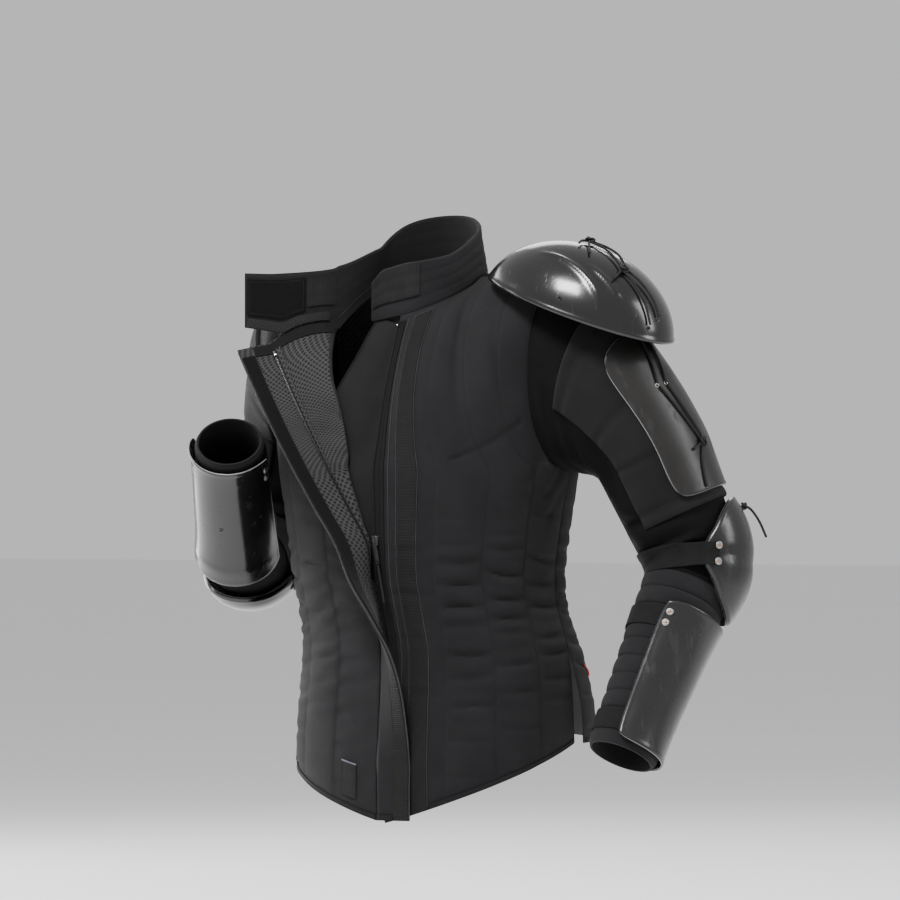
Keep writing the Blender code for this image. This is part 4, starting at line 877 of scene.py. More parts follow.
def right_front_grid():
    """The right front's inner face, normals and quilting shares: side, roll, turned cloth, zip and fly."""
    v, u = np.meshgrid(PANEL_ROWS, np.linspace(0, 1, HALF_COLUMNS + 1), indexing="ij")
    on_body, share = right_body(v, u)
    on_body[: LOW_ROWS + 1, -1, 1] = SEAM_Y
    on_body[:, -1, 1] -= GAP
    on_body[-1, RIGHT_NECK_COLUMN:-1, 1] -= GAP
    on_body *= (-1, 1, 1)
    root = on_body[:, 0]
    height = root[:, 2]
    zip_line, open_share = zip_edge(height, height[-1], PANEL_ROWS)
    turn = np.radians(mixed(FLY_TURN, height))
    fly = unit(np.stack([np.cos(turn), -np.sin(turn), FLY_DROP * open_share[:, 0]], -1))
    leaving = unit(on_body[:, 0] - on_body[:, 1])
    reach = np.linalg.norm(zip_line - root, axis=1, keepdims=True)
    first = root + leaving * np.minimum(reach * 0.35, ROLL_SOFTNESS)
    second = zip_line - fly * reach * 0.35
    beyond = []
    for t in np.linspace(0, 1, TURN_COLUMNS + 1)[1:]:
        turned = (root * (1 - t) ** 3 + first * 3 * t * (1 - t) ** 2
                  + second * 3 * t * t * (1 - t) + zip_line * t**3)
        turned[:, 2] = height + (zip_line[:, 2] - height) * t**3
        beyond.append(turned)
    for t in np.linspace(0, 1, FLY_COLUMNS + 1)[1:]:
        lying = np.stack([0 * turn, FLY_SAG * t * t * np.cos(turn).clip(0), 0 * turn], -1)
        beyond.append(zip_line + fly * FLY_WIDTH * t + lying)
    inner = sway(np.concatenate([on_body[:, ::-1], np.stack(beyond, axis=1)], axis=1))
    normals = normals_of(inner)
    square_to_y((normals[: LOW_ROWS + 1, 0], normals[-1, : HALF_COLUMNS + 1 - RIGHT_NECK_COLUMN]))
    neck_seam = slice(HALF_COLUMNS + 1 - RIGHT_NECK_COLUMN, HALF_COLUMNS + 1)
    normals[-1, neck_seam] = normals[-2, neck_seam]
    shares = np.concatenate([share[:, ::-1], np.zeros((len(inner), TURN_COLUMNS + FLY_COLUMNS))], axis=1)
    return inner, normals, shares


# Start, end, width and depth of the folds from the armpit and across the waist
RIGHT_FOLDS = (
    ((11.2, 0.3), (8.6, 4.6), 0.007, 0.0018), ((12.8, 0.3), (11.4, 4.2), 0.006, 0.0012),
    ((7.2, 15.2), (5.4, 8.0), 0.007, 0.0014), ((6.0, 14.6), (4.7, 6.5), 0.006, 0.0011),
    ((4.8, 14.8), (3.6, 9.0), 0.006, 0.0008),
)
inner, normals, shares = right_front_grid()
rows, columns, v, fine_inner, fine_out = fine_panel(inner, normals)
u = finer(shares[..., None])[..., 0]
rise = quilted(u, v) - crumpled(fine_inner[..., 2], u, -0.006, (1, 3, 2, 1), -1)
rise = rise * ramp(HALF_COLUMNS - columns, 3) - sum(fold(rows, columns, *row) for row in RIGHT_FOLDS)
# The turned cloth ripples a little between the roll and the zip
ripple = ramp(columns - HALF_COLUMNS, 2) * ramp(ZIP_COLUMN - columns, 2)
wander = 0.0009 * np.sin(rows * 2.3 + columns * 0.5) + 0.0005 * np.sin(rows * 4.9 - columns * 0.8) - 0.0023
fine_inner = fine_inner + unit(fine_out) * (ripple * wander)[..., None]
right_front = padded("front_right_quilted", "front_right", fine_inner, fine_out, rise)


# Guard flap
# A plain cotton flap behind the zip, which covers its teeth on the inside. It is sewn to the left front's
# facing, and its free edge is bound and bows away over the chest.

# How far across the flap reaches, at levels of the body
UNDERLAP_EDGE = ((0.70, 0.30), (1.0, 0.36), (1.3, 0.31), (1.48, 0.225), (1.70, 0.165), (1.95, 0.14))
UNDERLAP_ROWS = 10
UNDERLAP_COLUMNS = 8
UNDERLAP_TUCK = 0.10
UNDERLAP_DEPTH = 0.0030
UNDERLAP_STEPS = (10, 8)

levels = np.linspace(UNDERLAP_EDGE[0][0], UNDERLAP_EDGE[-1][0], UNDERLAP_ROWS)
reach = mixed(UNDERLAP_EDGE, levels)
u = -UNDERLAP_TUCK + (reach[:, None] + UNDERLAP_TUCK) * np.linspace(0, 1, UNDERLAP_COLUMNS)
v = np.repeat(levels[:, None], UNDERLAP_COLUMNS, axis=1)
points = body(v, np.abs(u), True)
points[..., 0] *= -np.sign(u)
normals = normals_of(points, -1)
outer = sway(points) - normals * UNDERLAP_DEPTH
rows, columns = fine_places(UNDERLAP_ROWS, UNDERLAP_COLUMNS, *UNDERLAP_STEPS)
fine_outer, fine_out = finer(outer, *UNDERLAP_STEPS), finer(normals, *UNDERLAP_STEPS)
# Row, slant, width and depth of its soft folds
sunk = 0
for row, slant, width, depth in ((2.1, 0.25, 0.45, 0.0009), (4.0, -0.20, 0.5, 0.0007),
                                 (6.2, 0.15, 0.6, 0.0006)):
    sunk += depth * bell(rows - row - slant * columns, width)
free = ramp(columns, 2) * ramp(UNDERLAP_COLUMNS - 1 - columns, 0.8)
fine_outer = fine_outer - unit(fine_out) * (sunk * free)[..., None]
underlap = Panel(fine_outer - unit(fine_out) * CLOTH, fine_outer, fine_out, *UNDERLAP_STEPS)
PLAIN_COTTON = twill("plain black cotton", (0.0034, 0.0033, 0.0039), 0.82, 0.0009, 0.2)
made = add_wall("guard_flap", underlap.inner, underlap.outer, [PLAIN_COTTON], slot="lining", node="underlap")


# Strips sewn on the fronts
# The left front carries a ribbed hook strip between two rows of stitches, and the right fly carries the fuzzy
# loop strip that it closes on, with a ribbed webbing band behind it. All are flat tapes, sewn at both edges.

TAPE = 0.0012
SEAT = 0.0004
ZIP_SEAT = 0.0008
ZIP_WALL = 0.0016
EDGE = 0.06
STRIP_LOW = 0.02
STRIP_HIGH = 0.30
HOOK_COLUMNS = (1.40, 2.75)
LOOP_COLUMNS = (FLY_END - 1.70, FLY_END - EDGE)
BAND_COLUMNS = (FLY_END - 1.95, FLY_END - EDGE)
SEWN_IN = 0.0016
SINK = 0.0005


def from_sides(grid):
    """How far each point of a grid lies from the nearer end of its row."""
    across = across_rows(grid)
    return np.minimum(across, across[:, -1:] - across)


def strip(name, node, panel, rows, columns, lift, thick, finish, inside=False, slot="sewn_tape",
          sewn_in=SEWN_IN):
    """A tape on a panel: its under face lies lift above the panel, and its upper face sinks towards the
    under one at the two sewn edges, by a bell round the stitch line and a round corner at the very edge."""
    rows, columns = np.meshgrid(rows, columns, indexing="ij")
    under = panel.on(rows, columns, lift, inside)
    edge = from_sides(under)
    height = thick - SINK * bell(edge - sewn_in, 0.0008) - thick * 0.55 * ramp(1 - edge / 0.0007) ** 2
    over = under + panel.normal(rows, columns, inside) * height[..., None]
    add_wall(name, under, over, [finish], slot=slot, node=node)


def spread(start, stop, count, edge=0.03):
    """Places from start to stop, closer together at both ends, so that the edges can be rounded."""
    middle = np.linspace(edge * 2, 1 - edge * 2, count)
    return start + (stop - start) * np.concatenate([[0, edge / 2, edge], middle, [1 - edge, 1 - edge / 2, 1]])


def webbing(name, colour, rib, roughness=0.62, along=True):
    """Woven tape: ribs across it with fine threads over them."""
    dye = Dye(name, roughness, sheen_weight=0.02, specular_ior_level=0.15)
    other, line = dye.cloth_place() if along else dye.cloth_place()[::-1]
    weave = line.wave(rib) * 0.75 + (other + line * 0.15).wave(0.0009) * 0.25
    dye.colour(colour, weave, 0.55, 1.35, (dye.noise(0.012, 3.0).step(0.35, 0.75) * 0.3, 1.9))
    dye.relief(weave, 0.0005)
    return dye.material


def fuzzy(name, colour):
    """Loop tape: a close pile, matt, with paler tips."""
    dye = Dye(name, 0.95, sheen_weight=0.05, sheen_roughness=0.5, specular_ior_level=0.1)
    pile = dye.noise(0.0012, 3.0, roughness=0.75)
    dye.colour(colour, pile.step(0.3, 0.75), 0.4, 1.7, (dye.noise(0.014, 2.0).step(0.3, 0.7) * 0.35, 0.7))
    dye.relief(pile, 0.0007)
    return dye.material


HOOK_TAPE = webbing("ribbed hook tape", (0.0041, 0.0041, 0.0044), 0.0018)
LOOP_TAPE = fuzzy("loop tape", (0.0033, 0.0033, 0.0036))
FLY_WEBBING = webbing("brownish black webbing", (0.0052, 0.0047, 0.0043), 0.0024)
BINDING = webbing("bias binding", (0.0047, 0.0047, 0.0054), 0.0008, 0.7)

strip_rows = np.arange(STRIP_LOW, TOP_ROW - STRIP_HIGH, 1 / ROW_STEPS)
strip("hook_strip_ribbed", "hook_strip", left_front, strip_rows, spread(*HOOK_COLUMNS, 9), ZIP_SEAT,
      TAPE + 0.0004, HOOK_TAPE)
strip("loop_strip_fuzzy", "loop_strip", right_front, strip_rows, spread(*LOOP_COLUMNS, 9), SEAT,
      TAPE + 0.0006, LOOP_TAPE, True)
strip("fly_webbing", "fly_band", right_front, strip_rows, spread(*BAND_COLUMNS, 11), SEAT, TAPE + 0.0003,
      FLY_WEBBING, slot="webbing")


# Zip
# A moulded tooth zip on two woven tapes. It is closed up to the slider and open above it, and each side ends
# at the neck in a bright top stop.

ZIP_LEFT_COLUMNS = (0.0, 0.62)
ZIP_RIGHT_COLUMNS = (ZIP_COLUMN - 0.62, ZIP_COLUMN + 0.10)
ZIP_LOW = 0.25
ZIP_HIGH = 0.30
TOOTH = np.array([0.0017, 0.0011, 0.0010])
TOOTH_PITCH = 0.0022
STOP = np.array([0.0030, 0.0022, 0.0042])
ZIP_TAPE = webbing("zip tape", (0.0039, 0.0039, 0.0042), 0.0007, 0.75)


def plain_metal(name, colour, roughness):
    """Plated metal: fine scratches, and a plating that is uneven in shine."""
    dye = Dye(name, roughness, 1.0)
    patches = dye.noise(0.004, 3.0).step(0.25, 0.75)
    scratches = dye.noise(0.0012, 2.0, (1, 1, 9)).step(0.45, 0.6)
    dye.colour(colour, patches * 0.5, 1, 0.62)
    dye.set("Roughness", patches * 0.10 + scratches * 0.06 + (roughness - 0.08))
    dye.relief(scratches, 0.00003)
    return dye.material


def moulded(name, colour, roughness, scuff=0.15, gloss=0.36):
    """Moulded plastic: a faint orange peel, wandering scuffs and a dusting of fine marks."""
    dye = Dye(name, roughness, specular_ior_level=gloss)
    clouds = dye.noise(0.030, 3.0).step(0.3, 0.72)
    scuffs = dye.noise(0.012, 4.0, (1, 1, 0.22), 0.65).step(0.56, 0.66)
    marks = dye.noise(0.0016, 3.0, roughness=0.8).step(0.66, 0.74)
    dye.colour(colour, clouds * 0.5, 1, 0.72, (scuffs * scuff, 1.7), (marks * 0.3, 2.2))
    dye.set("Roughness", clouds * 0.08 + scuffs * 0.12 + (roughness - 0.04))
    dye.relief(dye.noise(0.0022, 2.0) + scuffs * 0.5, 0.00006)
    return dye.material


NICKEL = plain_metal("nickel plate", (0.60, 0.58, 0.55), 0.28)
TOOTH_RESIN = moulded("black zip resin", (0.0060, 0.0060, 0.0064), 0.34)


def small_blocks(places, ways, outs, size):
    """One block a place: its first side lies across, its second along the way and its third points out.
    The top is narrower than the foot."""
    ways, outs = unit(ways), unit(outs)
    across = unit(np.cross(ways, outs))
    outs = np.cross(across, ways)
    corners = np.array([(-1, -1, 0), (1, -1, 0), (1, 1, 0), (-1, 1, 0), (-0.7, -0.7, 1), (0.7, -0.7, 1),
                        (0.7, 0.7, 1), (-0.7, 0.7, 1)]) * (size[0] / 2, size[1] / 2, size[2])
    points = places[:, None] + sum(corners[None, :, which, None] * side[:, None]
                                   for which, side in enumerate((across, ways, outs)))
    faces = np.array([(3, 2, 1, 0), (4, 5, 6, 7), (0, 1, 5, 4), (1, 2, 6, 5), (2, 3, 7, 6), (3, 0, 4, 7)])
    return points.reshape(-1, 3), (faces[None] + 8 * np.arange(len(places))[:, None, None]).reshape(-1, 4)


def evenly(line, pitch, offset=0.0):
    """The places on a line of points at an even pitch, as fractions of its index."""
    run = run_of(line)
    return np.interp(np.arange(offset, run[-1], pitch), run, np.arange(len(line)))


def zip_side(name, node, panel, columns, tooth_column, inside, shift, finish):
    """One side of the zip: its tape, its row of teeth and its top stop."""
    rows = np.arange(ZIP_LOW, TOP_ROW - ZIP_HIGH, 1 / ROW_STEPS)
    strip(name, node, panel, rows, spread(*columns, 5), ZIP_SEAT, ZIP_WALL * 0.55, finish, inside)
    columns = np.full_like(rows, tooth_column)
    line = panel.on(rows, columns, ZIP_SEAT + ZIP_WALL * 0.5, inside)
    out = panel.normal(rows, columns, inside)
    tables = line, np.gradient(line, axis=0), out
    at = evenly(line, TOOTH_PITCH, shift)
    teeth = small_blocks(*(smooth_rows(table, at) for table in tables), TOOTH)
    add_piece(f"{name}_teeth", *teeth, [TOOTH_RESIN], slot="sewn_tape", crease=20)
    stop = small_blocks(*(table[-3:-2] for table in tables), STOP)
    add_piece(f"{name}_stop", *stop, [NICKEL], slot="nickel", crease=20)


zip_side("zip_left_tape", "zip_left", left_front, ZIP_LEFT_COLUMNS, 0.10, False, 0.0, ZIP_TAPE)
# The mesh facing is sewn over the right tape, up to the teeth
zip_side("zip_right_tape", "zip_right", right_front, ZIP_RIGHT_COLUMNS, ZIP_COLUMN - 0.02, True,
         TOOTH_PITCH / 2, MESH_LINING)


# Zip slider and pull
# A plated slider with a bridge, and a flat dark pull that hangs from it and carries the cord. The wedge
# shaped body guides both rows of teeth.

def block(centre, size, turn=0.0, taper=(1.0, 1.0), round_edge=0.0006):
    """A block with rounded edges, narrower at its foot by taper, turned about Y."""
    work = bmesh.new()
    bmesh.ops.create_cube(work, size=1)
    for vertex in work.verts:
        share = 0.5 - vertex.co.z
        vertex.co.x *= 1 + (taper[0] - 1) * share
        vertex.co.y *= 1 + (taper[1] - 1) * share
    bmesh.ops.scale(work, vec=size, verts=work.verts)
    bmesh.ops.bevel(work, geom=work.edges, offset=round_edge, segments=3, profile=0.5, affect="EDGES")
    points = np.array([vertex.co for vertex in work.verts])
    faces = [[vertex.index for vertex in face.verts] for face in work.faces]
    work.free()
    cos, sin = math.cos(turn), math.sin(turn)
    turned = np.array([[cos, 0, sin], [0, 1, 0], [-sin, 0, cos]])
    return points @ turned.T + centre, faces


def merged(parts):
    """Several sets of points and faces as one."""
    points, faces, count = [], [], 0
    for part_points, part_faces in parts:
        points.append(np.asarray(part_points))
        faces += [[int(corner) + count for corner in face] for face in part_faces]
        count += len(part_points)
    return np.concatenate(points), faces


DARK_PULL = moulded("dark covered pull", (0.0080, 0.0080, 0.0088), 0.45)
DARK_METAL = plain_metal("darkened zip metal", (0.10, 0.10, 0.105), 0.30)
wide, deep, tall = SLIDER_SIZE
parts = [block(SLIDER_CENTRE + (0, deep * 0.30 * side, 0), (wide, deep * 0.36, tall), 0, (0.72, 1))
         for side in (-1, 1)]
parts.append(block(SLIDER_CENTRE + (0, 0, tall * 0.30), (wide * 0.26, deep * 0.8, tall * 0.34)))
# How far the bridge stands out, and its height as a share of the slider's
bridge = [SLIDER_CENTRE + (0, -deep / 2 - out, tall * up)
          for out, up in ((0, 0.36), (0.0021, 0.22), (0.0022, -0.10), (0, -0.26))]
parts.append(tube_points(bridge, 0.00055, 10, 24)[:2])
add_piece("zip_slider_plated", *merged(parts), [DARK_METAL], slot="nickel", node="zip_slider")

pull_wide, pull_deep, pull_long = PULL_SIZE
pull_middle = PULL_HINGE + PULL_DOWN * (pull_long / 2 - HINGE_INSET - 0.002)
parts = [block(pull_middle, (pull_wide * 0.86, pull_deep * 0.8, pull_long - 0.007), -PULL_TILT, (1.16, 1.0),
               0.0005)]
for run in (0.0125, 0.0176, 0.0227):
    ridge = PULL_HINGE + PULL_DOWN * run - (0, pull_deep * 0.40, 0)
    parts.append(block(ridge, (pull_wide * 0.62, 0.0005, 0.0016), -PULL_TILT, (1, 1), 0.0002))
eye_centre = PULL_HINGE + PULL_DOWN * (pull_long - HINGE_INSET - 0.0032)
beta = np.linspace(0, 2 * math.pi, 17)[:, None]
eye = eye_centre + 0.0019 * (np.cos(beta) * (math.cos(PULL_TILT), 0, math.sin(PULL_TILT))
                             + np.sin(beta) * PULL_DOWN)
parts.append(tube_points(eye, 0.00062, 8, 40)[:2])
add_piece("zip_pull_tab", *merged(parts), [DARK_PULL], "pull", "dark_pull", node="zip_pull")


# Hem binding
# A narrow bias binding closes the padding all along the hem, folded over the edge and topstitched.

HEM_SHARE = 0.21
BESIDE = 0.1
for side, panel, first, last in (("left", left_front, HOOK_COLUMNS[1] + BESIDE, HALF_COLUMNS - EDGE),
                                 ("right", right_front, EDGE, BAND_COLUMNS[0] - BESIDE),
                                 ("back", back, EDGE, 2 * HALF_COLUMNS - EDGE)):
    strip(f"hem_binding_{side}", f"hem_{side}", panel, spread(EDGE / 3, HEM_SHARE, 6, 0.08),
          np.arange(first, last, 1 / COLUMN_STEPS), SEAT, TAPE, BINDING)


# Label and tag
# A bare woven label at the right front's hem, held by a row of stitches round it, and a small red tag folded
# into the vent at the back's left side.

LABEL_ROWS = (0.5, 1.75)
LABEL_COLUMNS = (13.3, 14.6)
TAG_ROWS = (3.1, 3.6)
TAG_COLUMNS = (29.0, 29.8)
LABEL_CLOTH = webbing("bare woven label", (0.0066, 0.0066, 0.0072), 0.0007, 0.55)
LABEL_FOLD = webbing("pale folded label edge", (0.135, 0.130, 0.165), 0.0008, 0.7)
RED_CLOTH = webbing("red woven tag", (0.2750, 0.0088, 0.0165), 0.0008, 0.7)
strip("hem_label_bare", "hem_label", right_front, spread(*LABEL_ROWS, 12), spread(*LABEL_COLUMNS, 8), SEAT,
      TAPE, LABEL_CLOTH)
strip("label_fold", None, right_front, spread(LABEL_ROWS[1] - 0.045, LABEL_ROWS[1] + 0.005, 3),
      spread(*LABEL_COLUMNS, 8), SEAT + TAPE - 0.0002, 0.0005, LABEL_FOLD, sewn_in=0.0)
strip("side_tag_red", "side_tag", back, spread(*TAG_ROWS, 8), spread(*TAG_COLUMNS, 6), SEAT, TAPE, RED_CLOTH,
      slot="red_tag")


# Collar
# A stiff stand collar of the same cotton. Its left end carries a ribbed hook tab and its right end, which is
# pulled open here, the loop patch that the tab closes on.

COLLAR_WALL = 0.004
# Along the seam from the left end: the column, the height of the top edge and its lean
COLLAR = np.array([(0, 0.020, 0.000), (1, 0.034, 0.002), (3, 0.042, 0.004), (7, 0.053, 0.006),
                   (10, 0.076, 0.008),
                   (13.5, 0.096, 0.009), (17, 0.102, 0.010), (20.5, 0.093, 0.009), (24, 0.064, 0.006),
                   (30, 0.040, 0.002), (35, 0.031, 0.000), (38, 0.031, 0.000)])
TAB_COLUMNS = 3
LEFT_TAB = 0.040
RIGHT_TAB = 0.046
COLLAR_SEAM_COLUMNS = 5
COLLAR_ROWS = 4
COLLAR_SEAT = 0.0006
COLLAR_INSET = 0.0014
COLLAR_STEPS = 8


def neckline():
    """The top edge of the fronts and the back, from the left zip round the neck to the right zip."""
    back_span = slice(HALF_COLUMNS + NECK_COLUMN - 1, HALF_COLUMNS - NECK_COLUMN - 1, -1)
    right_span = slice(HALF_COLUMNS - RIGHT_NECK_COLUMN + 1, HALF_COLUMNS + COLLAR_SEAM_COLUMNS + 1)
    spans = (left_front, slice(NECK_COLUMN + 1)), (back, back_span), (right_front, right_span)
    inner, outer = (np.concatenate([getattr(panel, face)[-1, ::COLUMN_STEPS][span] for panel, span in spans])
                    for face in ("inner", "outer"))
    outer[:, 2] = np.maximum(inner[:, 2], outer[:, 2])
    return outer


# The collar runs on past the zip at both ends
line = neckline()
steps = np.arange(1, TAB_COLUMNS + 1)[:, None] / TAB_COLUMNS
seam = np.concatenate([line[0] + LEFT_TAB * unit((-1, -0.10, -0.20)) * steps[::-1], line,
                       line[-1] + RIGHT_TAB * unit((-0.83, -0.54, 0.14)) * steps])
ahead = np.gradient(seam, axis=0)
outward = unit(np.stack([ahead[:, 1], -ahead[:, 0], 0 * ahead[:, 0]], -1))
column_count = len(seam)
last = column_count - 1
top = smooth_rows(COLLAR[:, 1:], np.interp(np.arange(column_count), COLLAR[:, 0], np.arange(len(COLLAR))))
share = np.linspace(0, 1, COLLAR_ROWS + 1)[:, None, None]
outer = seam - outward * (COLLAR_INSET + top[None, :, 1:] * share)
outer[..., 2] = seam[:, 2] + COLLAR_SEAT + (top[:, 0] - seam[:, 2]) * share[..., 0]
out = np.repeat(outward[None], COLLAR_ROWS + 1, 0)
grain = COLLAR_STEPS, COLLAR_STEPS
fine_out = unit(finer(out, *grain))
rows, columns = fine_places(COLLAR_ROWS + 1, column_count, *grain)
# Rows of topstitching press the collar in, and the wadding between them swells
between_rows = np.abs(np.sin(rows * math.pi))
swell = 0.0006 * between_rows ** 0.7 + 0.0005 * np.sin(columns * 1.7 + rows) * np.sin(rows * math.pi / 4)
rounded = ramp(1 - (COLLAR_ROWS - rows) / 0.10) ** 2 * 0.0014
fine_outer = finer(outer, *grain) + fine_out * (swell - rounded)[..., None]
thinned = (0.0003 * between_rows - rounded)[..., None]
fine_inner = finer(outer - out * COLLAR_WALL, *grain) - fine_out * thinned
collar = Panel(fine_inner, fine_outer, fine_out, *grain)
made = add_wall("collar_stand", fine_inner, fine_outer, [COTTON, PLAIN_COTTON], node="collar")

TAB_TAPE = webbing("ribbed collar tab", (0.0058, 0.0058, 0.0063), 0.0021, along=False)
TAB_PLACE = (1.2, COLLAR_ROWS - 0.2), (0.12, TAB_COLUMNS + 1.5)
PATCH_PLACE = (0.95, COLLAR_ROWS - 0.45), (last - 4.6, last - 0.2)
strip("collar_tab_ribbed", "collar_tab", collar, spread(*TAB_PLACE[0], 20), spread(*TAB_PLACE[1], 34), SEAT,
      TAPE, TAB_TAPE)
strip("collar_patch_fuzzy", "collar_patch", collar, spread(*PATCH_PLACE[0], 20), spread(*PATCH_PLACE[1], 34),
      SEAT, TAPE, LOOP_TAPE, True)


# Sleeves
# Each sleeve is set into the armhole's own edge, padded, and bent as the arm is. Below the elbow it is sewn
# to a forearm that is quilted in narrow rings.

AROUND = 2 * HIGH_ROWS
ARMS = {
    1: {"start": (0.285, 0.031, -0.190), "elbow": (0.3285, 0.0497, -0.312), "end": (0.300, -0.070, -0.540),
        "bend_radius": 0.075, "away": (0.66, 0.75, -0.01), "elbow_rows": 6, "fore_rows": 20, "upper_rows": 4},
    -1: {"start": (-0.240, 0.078, -0.165), "elbow": (-0.2762, 0.0624, -0.3009),
         "end": (-0.2030, -0.1300, -0.170),
         "bend_radius": 0.062, "away": (-0.31, 0.53, -0.79), "elbow_rows": 8, "fore_rows": 16,
         "upper_rows": 3},
}
SLEEVE_RADII = {1: (0.064, 0.057, 0.049, 0.037), -1: (0.056, 0.050, 0.042, 0.037)}
SHOULDER_ROWS = 7
ELBOW_DRIFT = 0.4
LIFT_OFF = 0.010
FORE_RIDGE = 0.0028
SLEEVE_STEPS = 7


def arm_path(side):
    """The middle of the sleeve past the shoulder: straight, round the elbow on an arc whose ends are the
    tangents from the shoulder and the cuff, and straight to the cuff."""
    arm = ARMS[side]
    start, elbow, end, away = (np.array(arm[key]) for key in ("start", "elbow", "end", "away"))
    radius = arm["bend_radius"]
    away = unit(away)
    across = unit(np.cross(away, start - end))
    beside = np.cross(across, away)
    bend = elbow - radius * away

    def tangent_turn(point, sign):
        place = np.array([-(point - bend) @ away, (point - bend) @ beside])
        return math.atan2(place[1], place[0]) + sign * math.acos(radius / np.linalg.norm(place))

    turn = np.linspace(tangent_turn(start, 1), tangent_turn(end, -1) + 2 * math.pi, arm["elbow_rows"] + 1)
    out = -np.cos(turn)[:, None] * away + np.sin(turn)[:, None] * beside
    arc = bend + radius * out
    share = np.linspace(-1, 1, len(arc))[:, None]
    off_plane = np.where(share < 0, -share * ((start - bend) @ across), share * ((end - bend) @ across))
    arc += across * off_plane * ELBOW_DRIFT
    upper = blended((start, arc[0]), np.linspace(0, 1, arm["upper_rows"] + 1)[:-1, None])
    fore = blended((arc[-1], end), np.linspace(0, 1, arm["fore_rows"] + 1)[1:, None])
    outs = np.repeat(out, [len(upper) + 1] + [1] * (len(out) - 2) + [len(fore) + 1], axis=0)
    ahead = np.cross(outs, across)
    if ahead[0] @ (arc[0] - start) < 0:
        ahead = -ahead
    return np.concatenate([upper, arc, fore]), outs, across, ahead


class Sleeve:
    """One sleeve: its plain grid of points with a closed row round the arm, and how places on it are read.
    A turn is measured from the elbow's outer side, in degrees."""

    def __init__(self, side, front, front_column, back_column):
        arm = ARMS[side]
        centres, outs, across, ahead = arm_path(side)
        self.side, self.name = side, "left" if side == 1 else "right"
        medial, forward = np.array([-side, 0.0, -0.45]), np.array([0.0, -1.0, 0.0])
        self.start_angle = math.atan2(medial @ across, medial @ outs[0])
        front_angle = math.atan2(forward @ across, forward @ outs[0])
        self.way = 1 if math.sin(front_angle - self.start_angle) > 0 else -1
        angles = self.start_angle + self.way * np.arange(AROUND) * 2 * math.pi / AROUND
        stations = np.cumsum([0] + [arm["upper_rows"], arm["elbow_rows"], arm["fore_rows"]])
        radii = np.interp(np.arange(len(centres)), stations, SLEEVE_RADII[side])
        round_out = np.cos(angles)[:, None] * outs[:, None] + np.sin(angles)[:, None] * across
        rings = centres[:, None] + radii[:, None, None] * round_out
        edges = []
        for face in ("inner", "outer"):
            front_edge = getattr(front, face)[LOW_ROWS * ROW_STEPS:: ROW_STEPS, front_column]
            back_edge = getattr(back, face)[LOW_ROWS * ROW_STEPS:: ROW_STEPS, back_column]
            edges.append(np.concatenate([front_edge, back_edge[-2:0:-1]]))
        along = np.roll(edges[0], -1, axis=0) - np.roll(edges[0], 1, axis=0)
        clear = unit(np.cross(along, edges[1] - edges[0]))
        clear *= np.sign(clear[AROUND // 2, 0] * side)
        inner_loop, outer_loop = (edge + clear * 2 * GAP for edge in edges)
        top_share = (1 - np.cos(np.arange(AROUND) * 2 * math.pi / AROUND)) / 2
        leaving = np.array([side, 0.0, -0.10]) * (0.030 + 0.160 * top_share)[:, None]
        leaving[:, 2] += LIFT_OFF * (1 - top_share)
        arriving = ahead[0] * (0.035 + 0.160 * top_share)[:, None]
        shoulder = []
        for t in np.linspace(0, 1, SHOULDER_ROWS + 1)[1:-1]:
            shoulder.append(inner_loop * (2 * t**3 - 3 * t**2 + 1) + leaving * (t**3 - 2 * t**2 + t)
                            + rings[0] * (3 * t**2 - 2 * t**3) + arriving * (t**3 - t**2))
        self.inner = np.concatenate([[inner_loop], shoulder, rings])
        normals = normals_of(self.inner, 1, True)
        middle = self.inner.mean(axis=1, keepdims=True)
        self.normals = normals if ((self.inner - middle) * normals).sum() > 0 else -normals
        self.outer_loop, self.ahead = outer_loop, ahead
        self.elbow = SHOULDER_ROWS + arm["upper_rows"]
        self.fore = self.elbow + arm["elbow_rows"]
        self.last = len(self.inner) - 1
        self.middle = self.elbow + arm["elbow_rows"] / 2
        self.fine_inner = finer(self.inner, SLEEVE_STEPS, SLEEVE_STEPS, True)
        self.fine_out = unit(finer(self.normals, SLEEVE_STEPS, SLEEVE_STEPS, True))
        self.fine_outer = self.fine_inner + self.fine_out * CLOTH

    def column(self, angle):
        """The column of a turn from the elbow's outer side, in degrees."""
        return self.way * (np.radians(angle) - self.start_angle) / (2 * math.pi) * AROUND

    def on(self, rows, columns, lift=0.0):
        """Points on the sleeve's cloth at rows and columns, raised by lift, and the ways out there."""
        rows = np.clip(np.asarray(rows, float), 0, self.last) * SLEEVE_STEPS
        columns = np.mod(np.asarray(columns, float), AROUND) * SLEEVE_STEPS
        out = unit(read_points(self.fine_out, rows, columns))
        return read_points(self.fine_outer, rows, columns) + out * np.asarray(lift)[..., None], out

    def rows_from_elbow(self, distances, column):
        """The rows at these distances from the elbow's middle, measured down one column."""
        steps = np.linspace(1, self.last, 12 * self.last)
        line = self.on(steps, np.full_like(steps, column))[0]
        run = run_of(line)
        return np.interp(distances + np.interp(self.middle, steps, run), run, steps)


